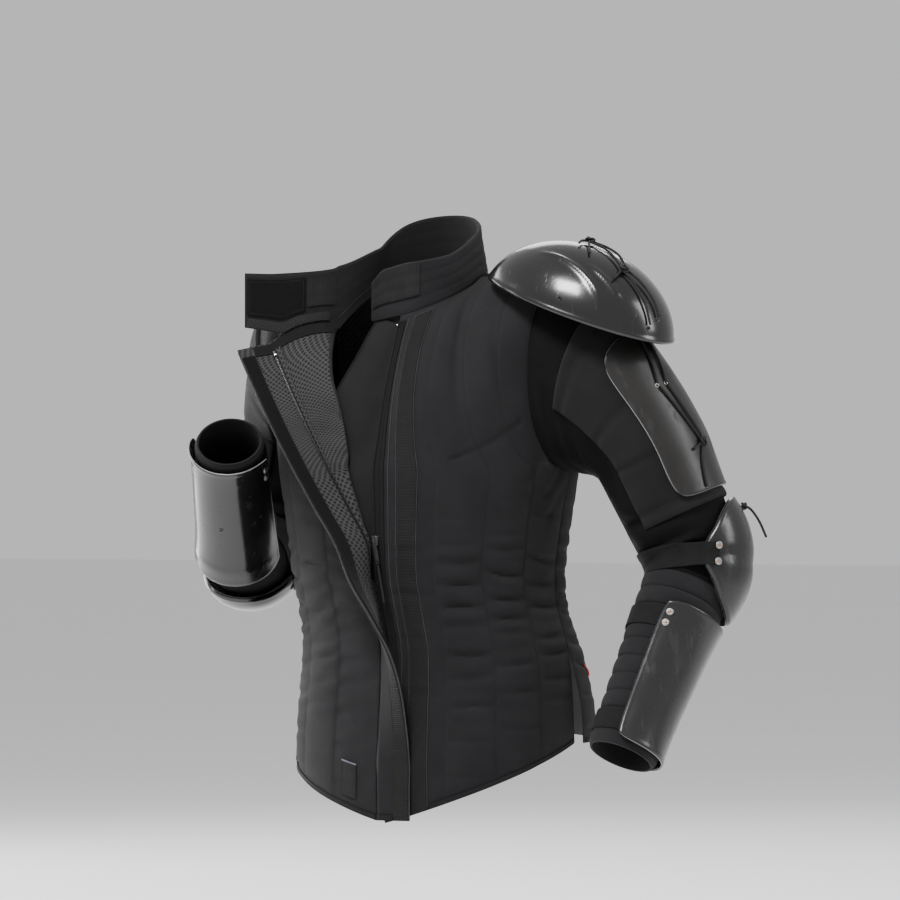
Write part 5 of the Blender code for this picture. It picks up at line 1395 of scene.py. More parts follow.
# Folds on a sleeve: row down from the armhole and column round the arm, at both ends, then width and depth
# in metres
SLEEVE_FOLDS = {
    1: (((0.8, 4.0), (3.1, 1.0), 0.009, 0.0046), ((1.7, 3.7), (4.4, 1.5), 0.007, 0.0040),
        ((3.6, 2.9), (8.6, 2.2), 0.008, 0.0036), ((2.2, 1.2), (5.8, 0.4), 0.008, 0.0034),
        ((9.2, 1.0), (9.9, 5.0), 0.007, 0.0040), ((10.7, 1.6), (10.9, 5.4), 0.006, 0.0036),
        ((12.1, 1.4), (12.5, 5.6), 0.006, 0.0034), ((14.0, 1.8), (13.8, 5.2), 0.006, 0.0030),
        ((1.2, 10.2), (4.4, 12.8), 0.009, 0.0040), ((4.0, 11.0), (8.2, 12.4), 0.008, 0.0034),
        ((9.6, 9.2), (10.2, 12.8), 0.007, 0.0036), ((11.6, 9.6), (11.9, 13.0), 0.006, 0.0032)),
    -1: (((0.9, 3.8), (3.6, 1.2), 0.009, 0.0042), ((2.4, 3.4), (6.6, 2.0), 0.008, 0.0038),
         ((4.6, 3.2), (8.4, 1.4), 0.007, 0.0030), ((9.4, 1.2), (9.8, 4.8), 0.007, 0.0038),
         ((10.9, 1.0), (11.3, 5.0), 0.006, 0.0036), ((12.6, 1.4), (12.4, 5.2), 0.006, 0.0032),
         ((1.4, 10.4), (4.6, 12.6), 0.009, 0.0038), ((5.0, 10.8), (8.6, 12.2), 0.008, 0.0032),
         ((10.0, 9.4), (10.5, 12.9), 0.007, 0.0034), ((12.2, 9.2), (12.0, 12.6), 0.006, 0.0030)),
}


def sleeve_folds(side, rows, columns):
    """The depth of all folds at rows and columns, the columns counted on round the arm: for each a bell down
    its line, with a softer ridge on either side."""
    pressed = np.zeros_like(rows)
    for start, end, width, depth in SLEEVE_FOLDS[side]:
        middle = (start[1] + end[1]) / 2
        nearest = np.mod(columns - middle + AROUND / 2, AROUND) - AROUND / 2 + middle
        run, off = beside_line(rows, nearest, start, end, 0.024, 0.026)
        ridge = 0.5 * bell(np.abs(off) - 2.2 * width, 1.4 * width)
        pressed += depth * ramp(run, 0.3) * ramp(1 - run, 0.3) * (bell(off, width) - ridge)
    return pressed


# Painted shade: the upper sleeves take cotton coloured about three times darker than the body's, for the
# shade on them
SLEEVE_COTTON_IN_PAINTED_SHADE = twill("deep black cotton", (0.0017, 0.0017, 0.0020), 0.62, 0.0009, 0.12, 0.07)
sleeves = {1: Sleeve(1, left_front, -1, -1), -1: Sleeve(-1, right_front, 0, 0)}
for side, sleeve in sleeves.items():
    rows, columns = fine_places(sleeve.last + 1, AROUND + 1, SLEEVE_STEPS, SLEEVE_STEPS)
    past_elbow = rows > sleeve.fore
    pressed = np.where(past_elbow, 0, sleeve_folds(side, rows, columns) * ramp(rows, 1.5))
    rings = FORE_RIDGE * np.abs(np.sin((rows - sleeve.fore) * math.pi / 2)) ** 0.5
    rings *= ramp(rows - sleeve.fore, 0.5) * ramp(sleeve.last - rows, 0.4)
    sleeve.fine_outer[0] = finer(np.stack([sleeve.outer_loop] * 2), 1, SLEEVE_STEPS, True)[0]
    out = sleeve.fine_out * ramp(rows, 0.5)[..., None]
    outer = sleeve.fine_outer + out * np.where(past_elbow, rings, -pressed)[..., None]
    inner = sleeve.fine_inner - out * pressed[..., None]
    upper, fore = slice(None, sleeve.fore * SLEEVE_STEPS + 1), slice(sleeve.fore * SLEEVE_STEPS, None)
    made = add_wall(f"sleeve_{sleeve.name}_folded", inner[upper], outer[upper], [SLEEVE_COTTON_IN_PAINTED_SHADE, PLAIN_COTTON],
                    True, node=f"sleeve_{sleeve.name}")
    apart = sleeve.ahead[-1] * SEAT * (rows[fore] == sleeve.fore)[..., None]
    made = add_wall(f"fore_sleeve_{sleeve.name}_quilted", inner[fore] + apart, outer[fore] + apart,
                    [COTTON, PLAIN_COTTON], True, node=f"fore_sleeve_{sleeve.name}")
    flat, area = ((0.34, 0.27), 0.068) if side == 1 else ((0.30, 0.21), 0.049)


# Arm pads
# A second padded layer is sewn over the outside of each upper arm and quilted across, to spread the load of
# the plate and keep its edges from pressing through.

PAD_WALL = 0.0045
CUP_TOP = AROUND / 2


def from_edges(grid):
    """How far each point of a grid lies from its nearest edge."""
    return np.minimum(from_sides(grid), from_sides(grid.swapaxes(0, 1)).T)


def rounding(distance, width):
    """A quarter circle's rise, from 0 at an edge to 1 at this width from it."""
    return np.sqrt(np.clip(1 - ramp(1 - distance / width) ** 2, 0, 1))


def layer(sleeve, rows, columns, lift, thick, edge):
    """Under and upper grids of a sewn layer on the sleeve, rounded at its edges."""
    base, out = sleeve.on(*np.meshgrid(rows, columns, indexing="ij"))
    height = thick * (0.35 + 0.65 * rounding(from_edges(base), edge))
    return base + out * lift, base + out * (lift + height)[..., None]


for sleeve in sleeves.values():
    rows, columns = spread(2, sleeve.elbow - 1, 90, 0.006), spread(CUP_TOP - 4, CUP_TOP + 4, 60, 0.006)
    down, across = np.meshgrid(rows, columns, indexing="ij")
    pad_seams = np.linspace(2.5, sleeve.elbow - 1.6, 4)
    swell = 1 - 0.45 * bell(np.abs(down[..., None] - pad_seams).min(axis=-1), 0.22)
    wander = 0.05 * np.sin(down * 3.1 + across * 1.7) + 0.05 * np.sin(across * 4.3 - down * 1.3)
    under, over = layer(sleeve, rows, columns, SEAT, PAD_WALL * (swell + wander), 0.004)
    made = add_wall(f"arm_pad_{sleeve.name}_quilted", under, over, [PLAIN_COTTON],
                    node=f"arm_pad_{sleeve.name}")
    flat, area = ((0.34, 0.21), 0.060) if sleeve.side == 1 else ((0.33, 0.19), 0.046)


# Upper arm plate
# A bent plate of moulded sheet over the outside of the left upper arm. Its corners are round, its edge is
# worn pale, and it is laced on through eyelets.

PLATE = 0.0028
GUARD_SHEET = moulded("dark grey moulded sheet", (0.0150, 0.0150, 0.0156), 0.25)
# The right arm's guards are the same sheet, coloured much darker as painted shade, since they lie in shade,
# and given a deeper shine
SHADED_GUARD_SHEET = moulded("guard sheet in painted shade", (0.0033, 0.0032, 0.0033), 0.17, 0.05, 0.60)
ARM_PLATE_SHEET = moulded("satin black sheet", (0.0110, 0.0102, 0.0098), 0.38)
WORN_EDGE = moulded("worn sheet edge", (0.150, 0.150, 0.155), 0.34)
PLATE_ROWS = (3.2, -1.5)
PLATE_COLUMNS = 2.2
PLATE_FACE = PAD_WALL + 2 * SEAT + PLATE
LACE_RADIUS = 0.0015


def sheet_faces(base, out, edge, lift, rim, rim_place=0.0030, rim_width=0.0016):
    """Under and upper faces of moulded sheet: a quarter circle at its edge, and a rim raised beside it."""
    corner = rounding(edge, 0.0014)
    raised = rim * bell(edge - rim_place, rim_width)
    under = base + out * (lift + (1 - corner) * PLATE * 0.45)[..., None]
    return under, base + out * (lift + raised + PLATE * (0.55 + 0.45 * corner))[..., None]


def plate_on(sleeve, rows, columns, lift, rim, corner_cut):
    """A moulded plate over the sleeve: its two faces and the ways out. Its corners are drawn in by
    corner_cut, as a share of the whole."""
    (row, down), (column, across) = (((ends[0] + ends[-1]) / 2, (ends[-1] - ends[0]) / 2)
                                     for ends in (rows, columns))
    s, t = np.meshgrid((rows - row) / down, (columns - column) / across, indexing="ij")
    kept = 1 - corner_cut * np.abs(s * t) ** 6
    base, out = sleeve.on(row + s * kept * down, column + t * kept * across)
    return (*sheet_faces(base, out, from_edges(base), lift, rim), out)


def sheet_wall(name, node, under, over, sheet, around=False):
    """A piece of moulded sheet whose edge is worn pale."""
    add_wall(name, under, over, [sheet, sheet, WORN_EDGE], around, 1, node, slot="moulded_plastic")


left_sleeve = sleeves[1]
rows = spread(PLATE_ROWS[0], left_sleeve.elbow + PLATE_ROWS[1], 70, 0.008)
columns = spread(CUP_TOP - PLATE_COLUMNS, CUP_TOP + PLATE_COLUMNS, 44, 0.012)
under, over, _ = plate_on(left_sleeve, rows, columns, PLATE_FACE - PLATE, 0.0007, 0.10)
sheet_wall("arm_plate_moulded", "arm_plate_left", under, over, ARM_PLATE_SHEET)


# Elbow cups
# A moulded dome over the point of each elbow, with a bead round its rim and a soft crease where its upper
# and lower halves meet.

SHEETS = {1: GUARD_SHEET, -1: SHADED_GUARD_SHEET}
FACING = {1: (18, 28), -1: (0, 0)}
CUP_REACH = {1: 0.078, -1: 0.090}
CUP_TURN = 80
CUP_LIFT = 0.0062
CUP_BULGE = 0.011


def cup_height(ring):
    """How far the elbow cup stands off the sleeve, from its rim at 1 to its crown at 0: a circle's rise."""
    return CUP_LIFT + CUP_BULGE * np.sqrt(np.clip(1 - np.asarray(ring, float) ** 2, 0, 1))


def dome(points_at, ring_count, segments, rim, reach):
    """The faces of a dome from its rim to its crown, with rings close together at the rim. points_at gives
    points and ways out at a ring and a turn."""
    near_rim = 1 - np.array([0, 0.004, 0.010, 0.018, 0.030, 0.045, 0.065])
    rings = np.concatenate([near_rim, np.linspace(0.91, 0.06, ring_count), [0.02, 0.0]])
    ring, turn = np.meshgrid(rings, np.linspace(0, 2 * math.pi, segments + 1), indexing="ij")
    return sheet_faces(*points_at(ring, turn), (1 - ring) * reach, 0, rim, 0.0034, 0.0018)


def elbow_cup(sleeve):
    cup_turn, reach = FACING[sleeve.side][0], CUP_REACH[sleeve.side]

    def points_at(ring, turn):
        distances = reach * ring * np.cos(turn)
        rows = sleeve.rows_from_elbow(distances, sleeve.column(cup_turn))
        columns = sleeve.column(cup_turn + CUP_TURN * ring * np.sin(turn))
        crease = 0.0012 * bell(distances, 0.010) * np.clip(1 - ring**4, 0, 1)
        return sleeve.on(rows, columns, cup_height(ring) - crease)

    cup = f"elbow_cup_{sleeve.name}"
    sheet_wall(f"{cup}_moulded", cup, *dome(points_at, 34, 120, 0.0008, reach), SHEETS[sleeve.side], True)


# Straps, guards and rivets
# A webbing strap runs round the inside of the elbow, its ends riveted on the cup. Two more hold the forearm
# guard, which is a half tube of moulded sheet with a flared rim and four rivets.

ELBOW_STRAP = 0.030
STRAP_END = 0.80
STRAP_SETTLE = 0.30
STRAP_SEAT = {1: 0.0018, -1: 0.0008}
GUARD_START = {1: 3.3, -1: -0.6}
STRAP_START = {1: 4.2, -1: 2.4}
STRAP_ROWS = 2.3
GUARD_REACH = 96
GUARD_FLARE = 0.003
STRAP_LIFT = FORE_RIDGE + SEAT
PLATE_LIFT = STRAP_LIFT + TAPE + SEAT
RIVET_SHARES = {1: (0.25, 0.8), -1: (0.1, 0.6)}
STRAP_WEBBING = webbing("black strap webbing", (0.0036, 0.0036, 0.0039), 0.0016, along=False)
COPPER = plain_metal("worn copper", (0.27, 0.19, 0.15), 0.42)
RIVET_STEEL = plain_metal("satin rivet steel", (0.30, 0.285, 0.27), 0.40)


def turned(profile, place, out, segments=28):
    """A turned piece: a profile of radius and height round an axis at a place, closed on the axis."""
    out = unit(out)
    side = unit(np.cross(out, (0.3, 0.5, 0.8)))
    other = np.cross(out, side)
    beta = np.arange(segments) * 2 * math.pi / segments
    around = np.cos(beta)[:, None] * side + np.sin(beta)[:, None] * other
    profile = np.array(profile)
    rings = place + profile[:, :1, None] * around + profile[:, 1:, None] * out
    index = np.arange(rings.shape[0] * segments).reshape(-1, segments)
    ahead = np.roll(index, -1, axis=1)
    faces = np.stack([index[:-1], ahead[:-1], ahead[1:], index[1:]], -1).reshape(-1, 4).tolist()
    return rings.reshape(-1, 3), faces + [index[0][::-1].tolist(), index[-1].tolist()]


def turned_pairs(name, pairs, finishes, slot="nickel", node=None):
    """Turned pieces of two parts each, as one piece. Each part has its own finish."""
    parts = [part for pair in pairs for part in pair]
    which = [number % 2 for number, part in enumerate(parts) for _ in part[1]]
    add_piece(name, *merged(parts), finishes, slot=slot, finish_of=which, crease=40, node=node)


HEAD = ((0.0045, 0.0), (0.0046, 0.0004), (0.0044, 0.0009), (0.0038, 0.0013), (0.0030, 0.0015),
        (0.0026, 0.0014))
CENTRE = ((0.0025, 0.0011), (0.0023, 0.0015), (0.0018, 0.0018), (0.0010, 0.0020), (0.0003, 0.00205))


def rivet(name, face, out, row_share, column_share, lift):
    """A rivet at shares of a piece's upper face: a plated head with a sunk copper centre."""
    at = row_share * (len(face) - 1), column_share * (face.shape[1] - 1)
    way = unit(read_points(out, *at))
    place = read_points(face, *at) + way * lift
    turned_pairs(f"{name}_domed", [(turned(HEAD, place, way), turned(CENTRE, place, way))],
                 [RIVET_STEEL, COPPER], node=name)


def elbow_strap(sleeve):
    """The strap follows the cup's rise under its ends, and settles down to the sleeve by a smooth step."""
    cup_turn, name = FACING[sleeve.side][0], sleeve.name
    ends = sleeve.column(np.array([cup_turn + CUP_TURN * STRAP_END, cup_turn + 360 - CUP_TURN * STRAP_END]))
    first, second = sorted(ends)
    columns = spread(first, second, 150, 0.004)
    across = spread(-0.5, 0.5, 12, 0.03)
    rows = np.array([sleeve.rows_from_elbow(across * ELBOW_STRAP, column) for column in columns]).T
    from_end = np.minimum(columns - first, second - columns) * 360 / AROUND
    ring = STRAP_END + from_end / CUP_TURN
    over_cup = cup_height(np.minimum(ring, 1.0)) + PLATE + 0.0009
    lift = over_cup + (STRAP_SEAT[sleeve.side] - over_cup) * eased(ramp(ring - 1.0, STRAP_SETTLE))
    base, out = sleeve.on(rows, np.repeat(columns[None], len(across), 0),
                          np.repeat(lift[None], len(across), 0))
    edge = np.minimum(across + 0.5, 0.5 - across)
    height = TAPE - 0.0004 * bell(edge - 0.10, 0.035) - TAPE * 0.5 * ramp(1 - edge / 0.03) ** 2
    face = base + out * height[:, None, None]
    add_wall(f"elbow_strap_{name}_woven", base, face, [STRAP_WEBBING], slot="webbing",
             node=f"elbow_strap_{name}")
    end = 0.012 if ends[0] < ends[1] else 0.988
    for mark, share in (("a", 0.24), ("b", 0.76)):
        rivet(f"cup_rivet_{mark}_{name}", face, out, share, end, 0.0002)


def forearm_guard(sleeve):
    """Two straps round the forearm, and over them the guard, whose rim flares by the fourth power of the
    share run from its middle."""
    side, name, guard_turn = sleeve.side, sleeve.name, FACING[sleeve.side][1]
    straps = {"upper": sleeve.fore + STRAP_START[side], "lower": sleeve.last - 3.8}
    reach = sorted(sleeve.column(np.array([guard_turn + 78.0, guard_turn + 282.0])))
    for place, start in straps.items():
        strap = f"fore_strap_{place}_{name}"
        grids = layer(sleeve, spread(start, start + STRAP_ROWS, 12), spread(*reach, 110, 0.004), STRAP_LIFT,
                      TAPE, 0.0008)
        add_wall(f"{strap}_woven", *grids, [STRAP_WEBBING], slot="webbing", node=strap)
    rows = spread(sleeve.fore + GUARD_START[side], sleeve.last - 0.6, 80, 0.005)
    ends = sorted(sleeve.column(np.array([guard_turn - GUARD_REACH, guard_turn + GUARD_REACH], float)))
    share = (rows - rows[0]) / (rows[-1] - rows[0]) * 2 - 1
    flare = (PLATE_LIFT + GUARD_FLARE * share**4)[:, None]
    under, over, out = plate_on(sleeve, rows, spread(*ends, 90, 0.004), flare, 0.0006, 0.06)
    sheet_wall(f"fore_guard_{name}_moulded", f"fore_guard_{name}", under, over, SHEETS[side])
    held = straps["upper" if side == 1 else "lower"]
    near, far = RIVET_SHARES[side]
    for mark, row_share, column in (("a", near, 0.075), ("b", far, 0.075), ("c", near, 0.925),
                                    ("d", far, 0.925)):
        row = np.interp(held + STRAP_ROWS * row_share, rows, np.linspace(0, 1, len(rows)))
        rivet(f"guard_rivet_{mark}_{name}", over, out, row, column, 0.0001)


for sleeve in sleeves.values():
    elbow_cup(sleeve)
    elbow_strap(sleeve)
    forearm_guard(sleeve)


# Shoulder cap
# A polished dome over the left shoulder, tied on through holes. Two curved ridges stiffen it, and its rim is
# turned up into a bead.

CAP_CENTRE = np.array([0.2010, 0.002, -0.0256])
CAP_TILT = math.radians(20)
CAP_ALONG, CAP_ACROSS, CAP_HEIGHT = 0.122, 0.088, 0.088
CAP_RIM = 82
# Where each ridge starts and ends, along and across, and its height
CAP_RIDGES = ((-0.42, -0.54, 0.50, -0.75, 0.0026), (0.12, -0.54, 0.60, -0.58, 0.0018),
              (-0.40, 0.50, 0.52, 0.66, 0.0022))
LACE_GAP = 0.0006


def cap_point(along, across, lift=0.0):
    """A place on the shoulder cap: along from the neck to the arm, across from the front to the back, on an
    ellipsoid whose height is the root of what the squares of both leave over."""
    tilt = np.array([math.cos(CAP_TILT), 0, -math.sin(CAP_TILT)])
    up = np.array([math.sin(CAP_TILT), 0, math.cos(CAP_TILT)])
    depth = np.array([0, 1.0, 0])
    along, across, lift = (np.asarray(value, float)[..., None] for value in (along, across, lift))
    rise = np.sqrt(np.clip(1 - along**2 - across**2, 0, 1))
    return (CAP_CENTRE + tilt * along * (CAP_ALONG + lift) + depth * across * (CAP_ACROSS + lift)
            + up * rise * (CAP_HEIGHT + lift))


def cap_place(along, across, lift=0.0):
    """A point over the cap, with the way out there."""
    point = cap_point(along, across, lift)
    return point, unit(cap_point(along, across, lift + 0.001) - point)


def cap_at(ring, turn):
    """The cap's face with its ridges: each is a bell across its line, faded at both ends."""
    polar = np.radians(CAP_RIM) * ring
    along, across = np.sin(polar) * np.cos(turn), np.sin(polar) * np.sin(turn)
    points, out = cap_place(along, across)
    ridges = np.zeros_like(along)
    for first, start, stop, end, height in CAP_RIDGES:
        share = (along - first) / (stop - first)
        off = across - start - (end - start) * share
        ridges += height * ramp(share, 0.3) * ramp(1 - share, 0.12) * bell(off, 0.030)
    return points + out * (ridges * ramp(0.95 - ring, 0.06))[..., None], out


def polished(name, colour, roughness):
    """Polished plastic: deep, with a clear coat, fine swirls and soft dents in the shine."""
    dye = Dye(name, roughness, specular_ior_level=0.42, coat_weight=0.22, coat_roughness=0.12)
    clouds = dye.noise(0.05, 3.0).step(0.3, 0.75)
    swirls = dye.noise(0.006, 4.0, (1, 1, 0.15), 0.7).step(0.60, 0.68)
    dust = dye.noise(0.0014, 2.0, roughness=0.8).step(0.70, 0.78)
    dye.colour(colour, clouds * 0.5, 1, 0.65, (dust * 0.25, 4.0))
    dye.set("Roughness", clouds * 0.05 + swirls * 0.12 + roughness)
    dye.relief(dye.noise(0.012, 2.0) + swirls * 0.2, 0.0001)
    return dye.material


CAP_PLASTIC = polished("polished black plastic", (0.0085, 0.0082, 0.0086), 0.17)
add_wall("shoulder_cap_polished", *dome(cap_at, 60, 160, 0.0012, 0.13), [CAP_PLASTIC], True,
         slot="polished_plastic", node="shoulder_cap_left")


# Laces and eyelets
# Round black laces hold the shoulder cap and the arm plate. They pass through small plated eyelets and end in
# overhand knots whose tails are cut short.

DARK_HOLE = moulded("unlit hole", (0.004, 0.004, 0.004), 0.8, 0.0)
EYELET = ((0.0015, 0.0), (0.0017, 0.0006), (0.0023, 0.0008), (0.0029, 0.0005), (0.0030, 0.0))
HOLE = ((0.0015, 0.0004), (0.0007, 0.00042))
KNOT_SIZE = 0.0016
CAP_LACE_LIFT = PLATE + LACE_RADIUS + LACE_GAP + 0.0016
PLATE_LACE_LIFT = PLATE_FACE + LACE_RADIUS + LACE_GAP


def knot(centre, out, along, size=KNOT_SIZE):
    """An overhand knot: the closed curve (2 + cos 3t/2) round a ring, with a height of sin 3t/2."""
    out, along = unit(out), unit(along)
    beside = unit(np.cross(out, along))
    t = np.linspace(0, 4 * math.pi, 40)[:, None]
    reach = 2.0 + np.cos(1.5 * t)
    path = centre + size * (reach * (1.25 * np.cos(t) * along + np.sin(t) * beside)
                            + 0.95 * np.sin(1.5 * t) * out)
    return tube_points(path, LACE_RADIUS * 0.92, 8, 90)


def tubes_piece(name, tubes, finish, slot, node=None):
    """Tubes as one piece, with the metres round and along each."""
    points, faces = merged([tube[:2] for tube in tubes])
    add_piece(name, points, faces, [finish], slot=slot, places=np.concatenate([tube[2] for tube in tubes]),
              node=node)


def laced(name, node, runs, knots):
    """One lace: its runs and its knots, as one piece."""
    tubes_piece(name, [tube_points(run, LACE_RADIUS, 8, 12 * len(run)) for run in runs] + knots, LACE, "lace",
                node)


def on_cap(*line):
    line = np.array(line)
    return cap_point(line[:, 0], line[:, 1], CAP_LACE_LIFT)


cap_knots = []
for along, across in ((-0.12, 0.00), (0.41, -0.28)):
    centre, ahead = on_cap((along, across), (along + 0.1, across - 0.02))
    cap_knots.append(knot(centre + unit(centre - CAP_CENTRE) * 0.0022, centre - CAP_CENTRE, ahead - centre))
laced("cap_lace_knotted", "cap_lace_left", [
    on_cap((-0.12, 0.03), (0.06, 0.02), (0.24, -0.06), (0.41, -0.23)),
    on_cap((-0.12, -0.03), (0.08, -0.10), (0.26, -0.20), (0.41, -0.31)),
    on_cap((0.41, -0.25), (0.58, -0.20), (0.75, -0.17), (0.87, -0.17)),
    on_cap((0.41, -0.31), (0.57, -0.31), (0.74, -0.33), (0.87, -0.34)),
    on_cap((-0.12, -0.02), (-0.04, -0.20), (0.06, -0.38)),
    on_cap((-0.12, 0.03), (-0.16, -0.10), (-0.13, -0.24)),
    on_cap((0.41, -0.30), (0.42, -0.40), (0.43, -0.50)),
], cap_knots)


def eyelets(name, places, rim, slot):
    """Eyelets at places with their ways out."""
    pairs = [(turned(EYELET, place, out, 20), turned(HOLE, place, out, 16)) for place, out in places]
    turned_pairs(name, pairs, [rim, DARK_HOLE], slot)


cap_holes = (0.11, -0.935), (0.885, -0.175), (0.885, -0.345)
eyelets("cap_holes", [cap_place(*hole, PLATE) for hole in cap_holes], CAP_PLASTIC, "polished_plastic")
eyelets("plate_eyelets", [left_sleeve.on(*hole, PLATE_FACE) for hole in ((4.95, 6.10), (5.0, 6.52))], NICKEL,
        "nickel")
eyelets("guard_hole", [sleeves[-1].on(24.6, 10.28, PLATE_LIFT + PLATE)], SHADED_GUARD_SHEET, "moulded_plastic")


def on_plate(*line):
    line = np.array(line)
    return left_sleeve.on(line[:, 0], line[:, 1], PLATE_LACE_LIFT)[0]


knot_place, knot_out = left_sleeve.on(7.34, 6.72, PLATE_LACE_LIFT + 0.002)
laced("plate_lace_knotted", "plate_lace", [
    on_plate((3.5, 6.70), (4.2, 6.45), (4.9, 6.14)),
    on_plate((3.5, 7.05), (4.3, 6.80), (5.0, 6.50)),
    on_plate((5.0, 6.14), (5.9, 6.35), (6.7, 6.55), (7.30, 6.70)),
    on_plate((5.05, 6.50), (5.9, 6.62), (6.8, 6.78), (7.34, 6.80)),
    on_plate((7.34, 6.72), (8.1, 6.40), (8.8, 6.22), (9.32, 6.14)),
    on_plate((7.34, 6.70), (7.44, 6.42), (7.52, 6.16)),
], [knot(knot_place, knot_out, on_plate((7.6, 6.72))[0] - knot_place)])


# Cup lace
# A short lace end is knotted through the top of the left elbow cup and stands out from it.

CUP_LACE_RING = 0.80
CUP_LACE_RUN = ((0.0, 0.0), (0.008, -0.004), (0.018, -0.018), (0.0265, -0.037))
cup_column = left_sleeve.column(FACING[1][0])
cup_row = left_sleeve.rows_from_elbow(-CUP_LACE_RING * CUP_REACH[1], cup_column)
cup_lift = cup_height(CUP_LACE_RING) + PLATE + LACE_RADIUS + LACE_GAP
cup_place, cup_out = left_sleeve.on(cup_row, cup_column, cup_lift)
start = cup_place + cup_out * 0.0015
away = np.array([math.cos(VIEW_TURN), math.sin(VIEW_TURN), 0.0])
cup_run = [start + away * reach + (0, 0, drop) for reach, drop in CUP_LACE_RUN]
tail = tube_points(cup_run, LACE_RADIUS, 10, 40)
tied = knot(start, cup_out, np.array([0, 1.0, 0.2]), 0.0013)
cup_lace, cup_knot = (add_piece(name, *tube[:2], [LACE], slot="lace", places=tube[2])
                      for name, tube in (("cup_lace_end", tail), ("cup_lace_knot", tied)))
tuple(cup_run[0])


# Bound edges
# Thin cords are sewn into the folded edges: beside the zip, along both sides of the hook strip, down the
# fly's outer edge, along the guard flap and round the armholes. The pale grey cords at the left zip tape's
# edge, beside the hook strip and down the fly are a painted highlight: they stand in for the light along
# those folds.

# Painted highlight: a pale grey for the light caught along the folded edges
PALE_EDGE_HIGHLIGHT = webbing("grey piping", (0.0303, 0.0303, 0.0324), 0.0011, 0.6)
DARK_PIPING = webbing("black piping", (0.0041, 0.0041, 0.0047), 0.0011, 0.6)


def seam(panel, rows, columns, lift=0.0, inside=False, count=90):
    """A line on a panel and the ways out there. Its rows and columns are each one number, or two ends."""
    rows, columns = (np.linspace(*np.broadcast_to(ends, 2), count) for ends in (rows, columns))
    return panel.on(rows, columns, lift, inside), panel.normal(rows, columns, inside)


def up(panel, ends, columns, *words, **more):
    """Seams up a panel between two rows, one at each column."""
    return [seam(panel, ends, column, *words, **more) for column in columns]


def over(panel, rows, ends, *words, **more):
    """Seams across a panel between two columns, one at each row."""
    return [seam(panel, row, ends, *words, **more) for row in rows]


def piped(name, seams, radius, finish, slot="sewn_tape"):
    """Piping along seams, all as one piece, with a ring about every five millimetres."""
    lengths = [run_of(line)[-1] for line, _ in seams]
    tubes_piece(name, [tube_points(line, radius, 7, max(6, round(length / 0.005)))
                       for (line, _), length in zip(seams, lengths)], finish, slot)


hook_low, hook_high = HOOK_COLUMNS
strip_ends = 0.1, TOP_ROW - STRIP_HIGH
zip_ends = ZIP_LOW, TOP_ROW - ZIP_HIGH
beside_hook = hook_low - 0.03, hook_high + 0.03
piped("placket_highlight_piping", up(left_front, strip_ends, [0.86], 0.0004, count=70)
      + up(left_front, strip_ends, beside_hook, 0.0008, count=70)
      + over(left_front, [strip_ends[1]], beside_hook, 0.0008, count=12), 0.00065, PALE_EDGE_HIGHLIGHT)
piped("fly_highlight_piping", up(right_front, (0.05, TOP_ROW - 0.1), [FLY_END - 0.02], -0.0008, count=70), 0.0011,
      PALE_EDGE_HIGHLIGHT)
piped("zip_piping", up(left_front, zip_ends, [0.36], ZIP_SEAT + ZIP_WALL * 0.6, count=70)
      + up(right_front, zip_ends, [ZIP_COLUMN - 0.22], ZIP_SEAT + ZIP_WALL * 0.6, True, 70), 0.0006,
      DARK_PIPING)
piped("flap_binding", up(underlap, (0.0, UNDERLAP_ROWS - 1), [UNDERLAP_COLUMNS - 1.05], -0.0002, count=70),
      0.0013, DARK_PIPING)
piped("dart_seam", [seam(left_front, (12.35, 10.5), (14.5, 5.4), -0.0022, count=40)], 0.0007, DARK_PIPING,
      "padded_cotton")
armholes = [(smooth_rows(sleeve.outer_loop, np.linspace(0, AROUND, 100), True), None)
            for sleeve in sleeves.values()]
piped("armhole_seams", armholes, 0.0010, DARK_PIPING, "padded_cotton")


# Roll facing
# Where the right front turns over, a smooth knitted facing covers the padding's edge, and the mesh starts
# beside it. At the neck the mesh ends under a curved binding.

FACING_KNIT = webbing("grey knitted facing", (0.0132, 0.0132, 0.0135), 0.0012, 0.8, False)
COLLAR_MESH = spacer_mesh("black spacer mesh", 0.0044, (0.0065, 0.0065, 0.0070), (0.0120, 0.0120, 0.0125))
for name, panel, rows, columns, lift, thick, finish, slot in (
    ("roll_facing", right_front, np.arange(4.0, TOP_ROW - 0.1, 1 / ROW_STEPS),
     spread(HALF_COLUMNS + 0.15, HALF_COLUMNS + 1.25, 6), 0.0002, 0.0005, FACING_KNIT, "sewn_tape"),
    ("mesh_binding", right_front, spread(TOP_ROW - 0.42, TOP_ROW - 0.06, 5),
     np.linspace(HALF_COLUMNS + 0.3, FLY_END - 1.8, 60), 0.0003, 0.0010, BINDING, "sewn_tape"),
    ("collar_mesh", collar, spread(0.06, 0.72, 6), np.linspace(last - 6.5, last - 0.15, 80), 0.0002, 0.0006,
     COLLAR_MESH, "lining"),
    ("collar_ribs", collar, spread(1.25, COLLAR_ROWS - 0.55, 16), np.linspace(last - 7.2, last - 4.7, 26),
     SEAT, 0.0007, TAB_TAPE, "sewn_tape"),
):
    strip(name, None, panel, rows, columns, lift, thick, finish, True, slot)


# Neck tape
# A plain tape covers the neck seam on the inside, from the left end to where the collar is pulled out.

tape_columns = np.linspace(0.1, last - 6.6, 200)
upper, middle = (collar.on(np.full(200, row), tape_columns, 0.0003, True) for row in (0.30, 0.02))
away = collar.normal(np.full(200, 0.02), tape_columns, True)
down = unit(middle - upper)
under = np.stack([upper + (middle - upper) * share for share in (0.0, 0.5, 1.0)]
                 + [middle + down * reach + away * reach * 0.12 for reach in (0.003, 0.006, 0.009)])
add_wall("neck_tape", under, under + away * 0.0006, [PLAIN_COTTON], slot="lining")


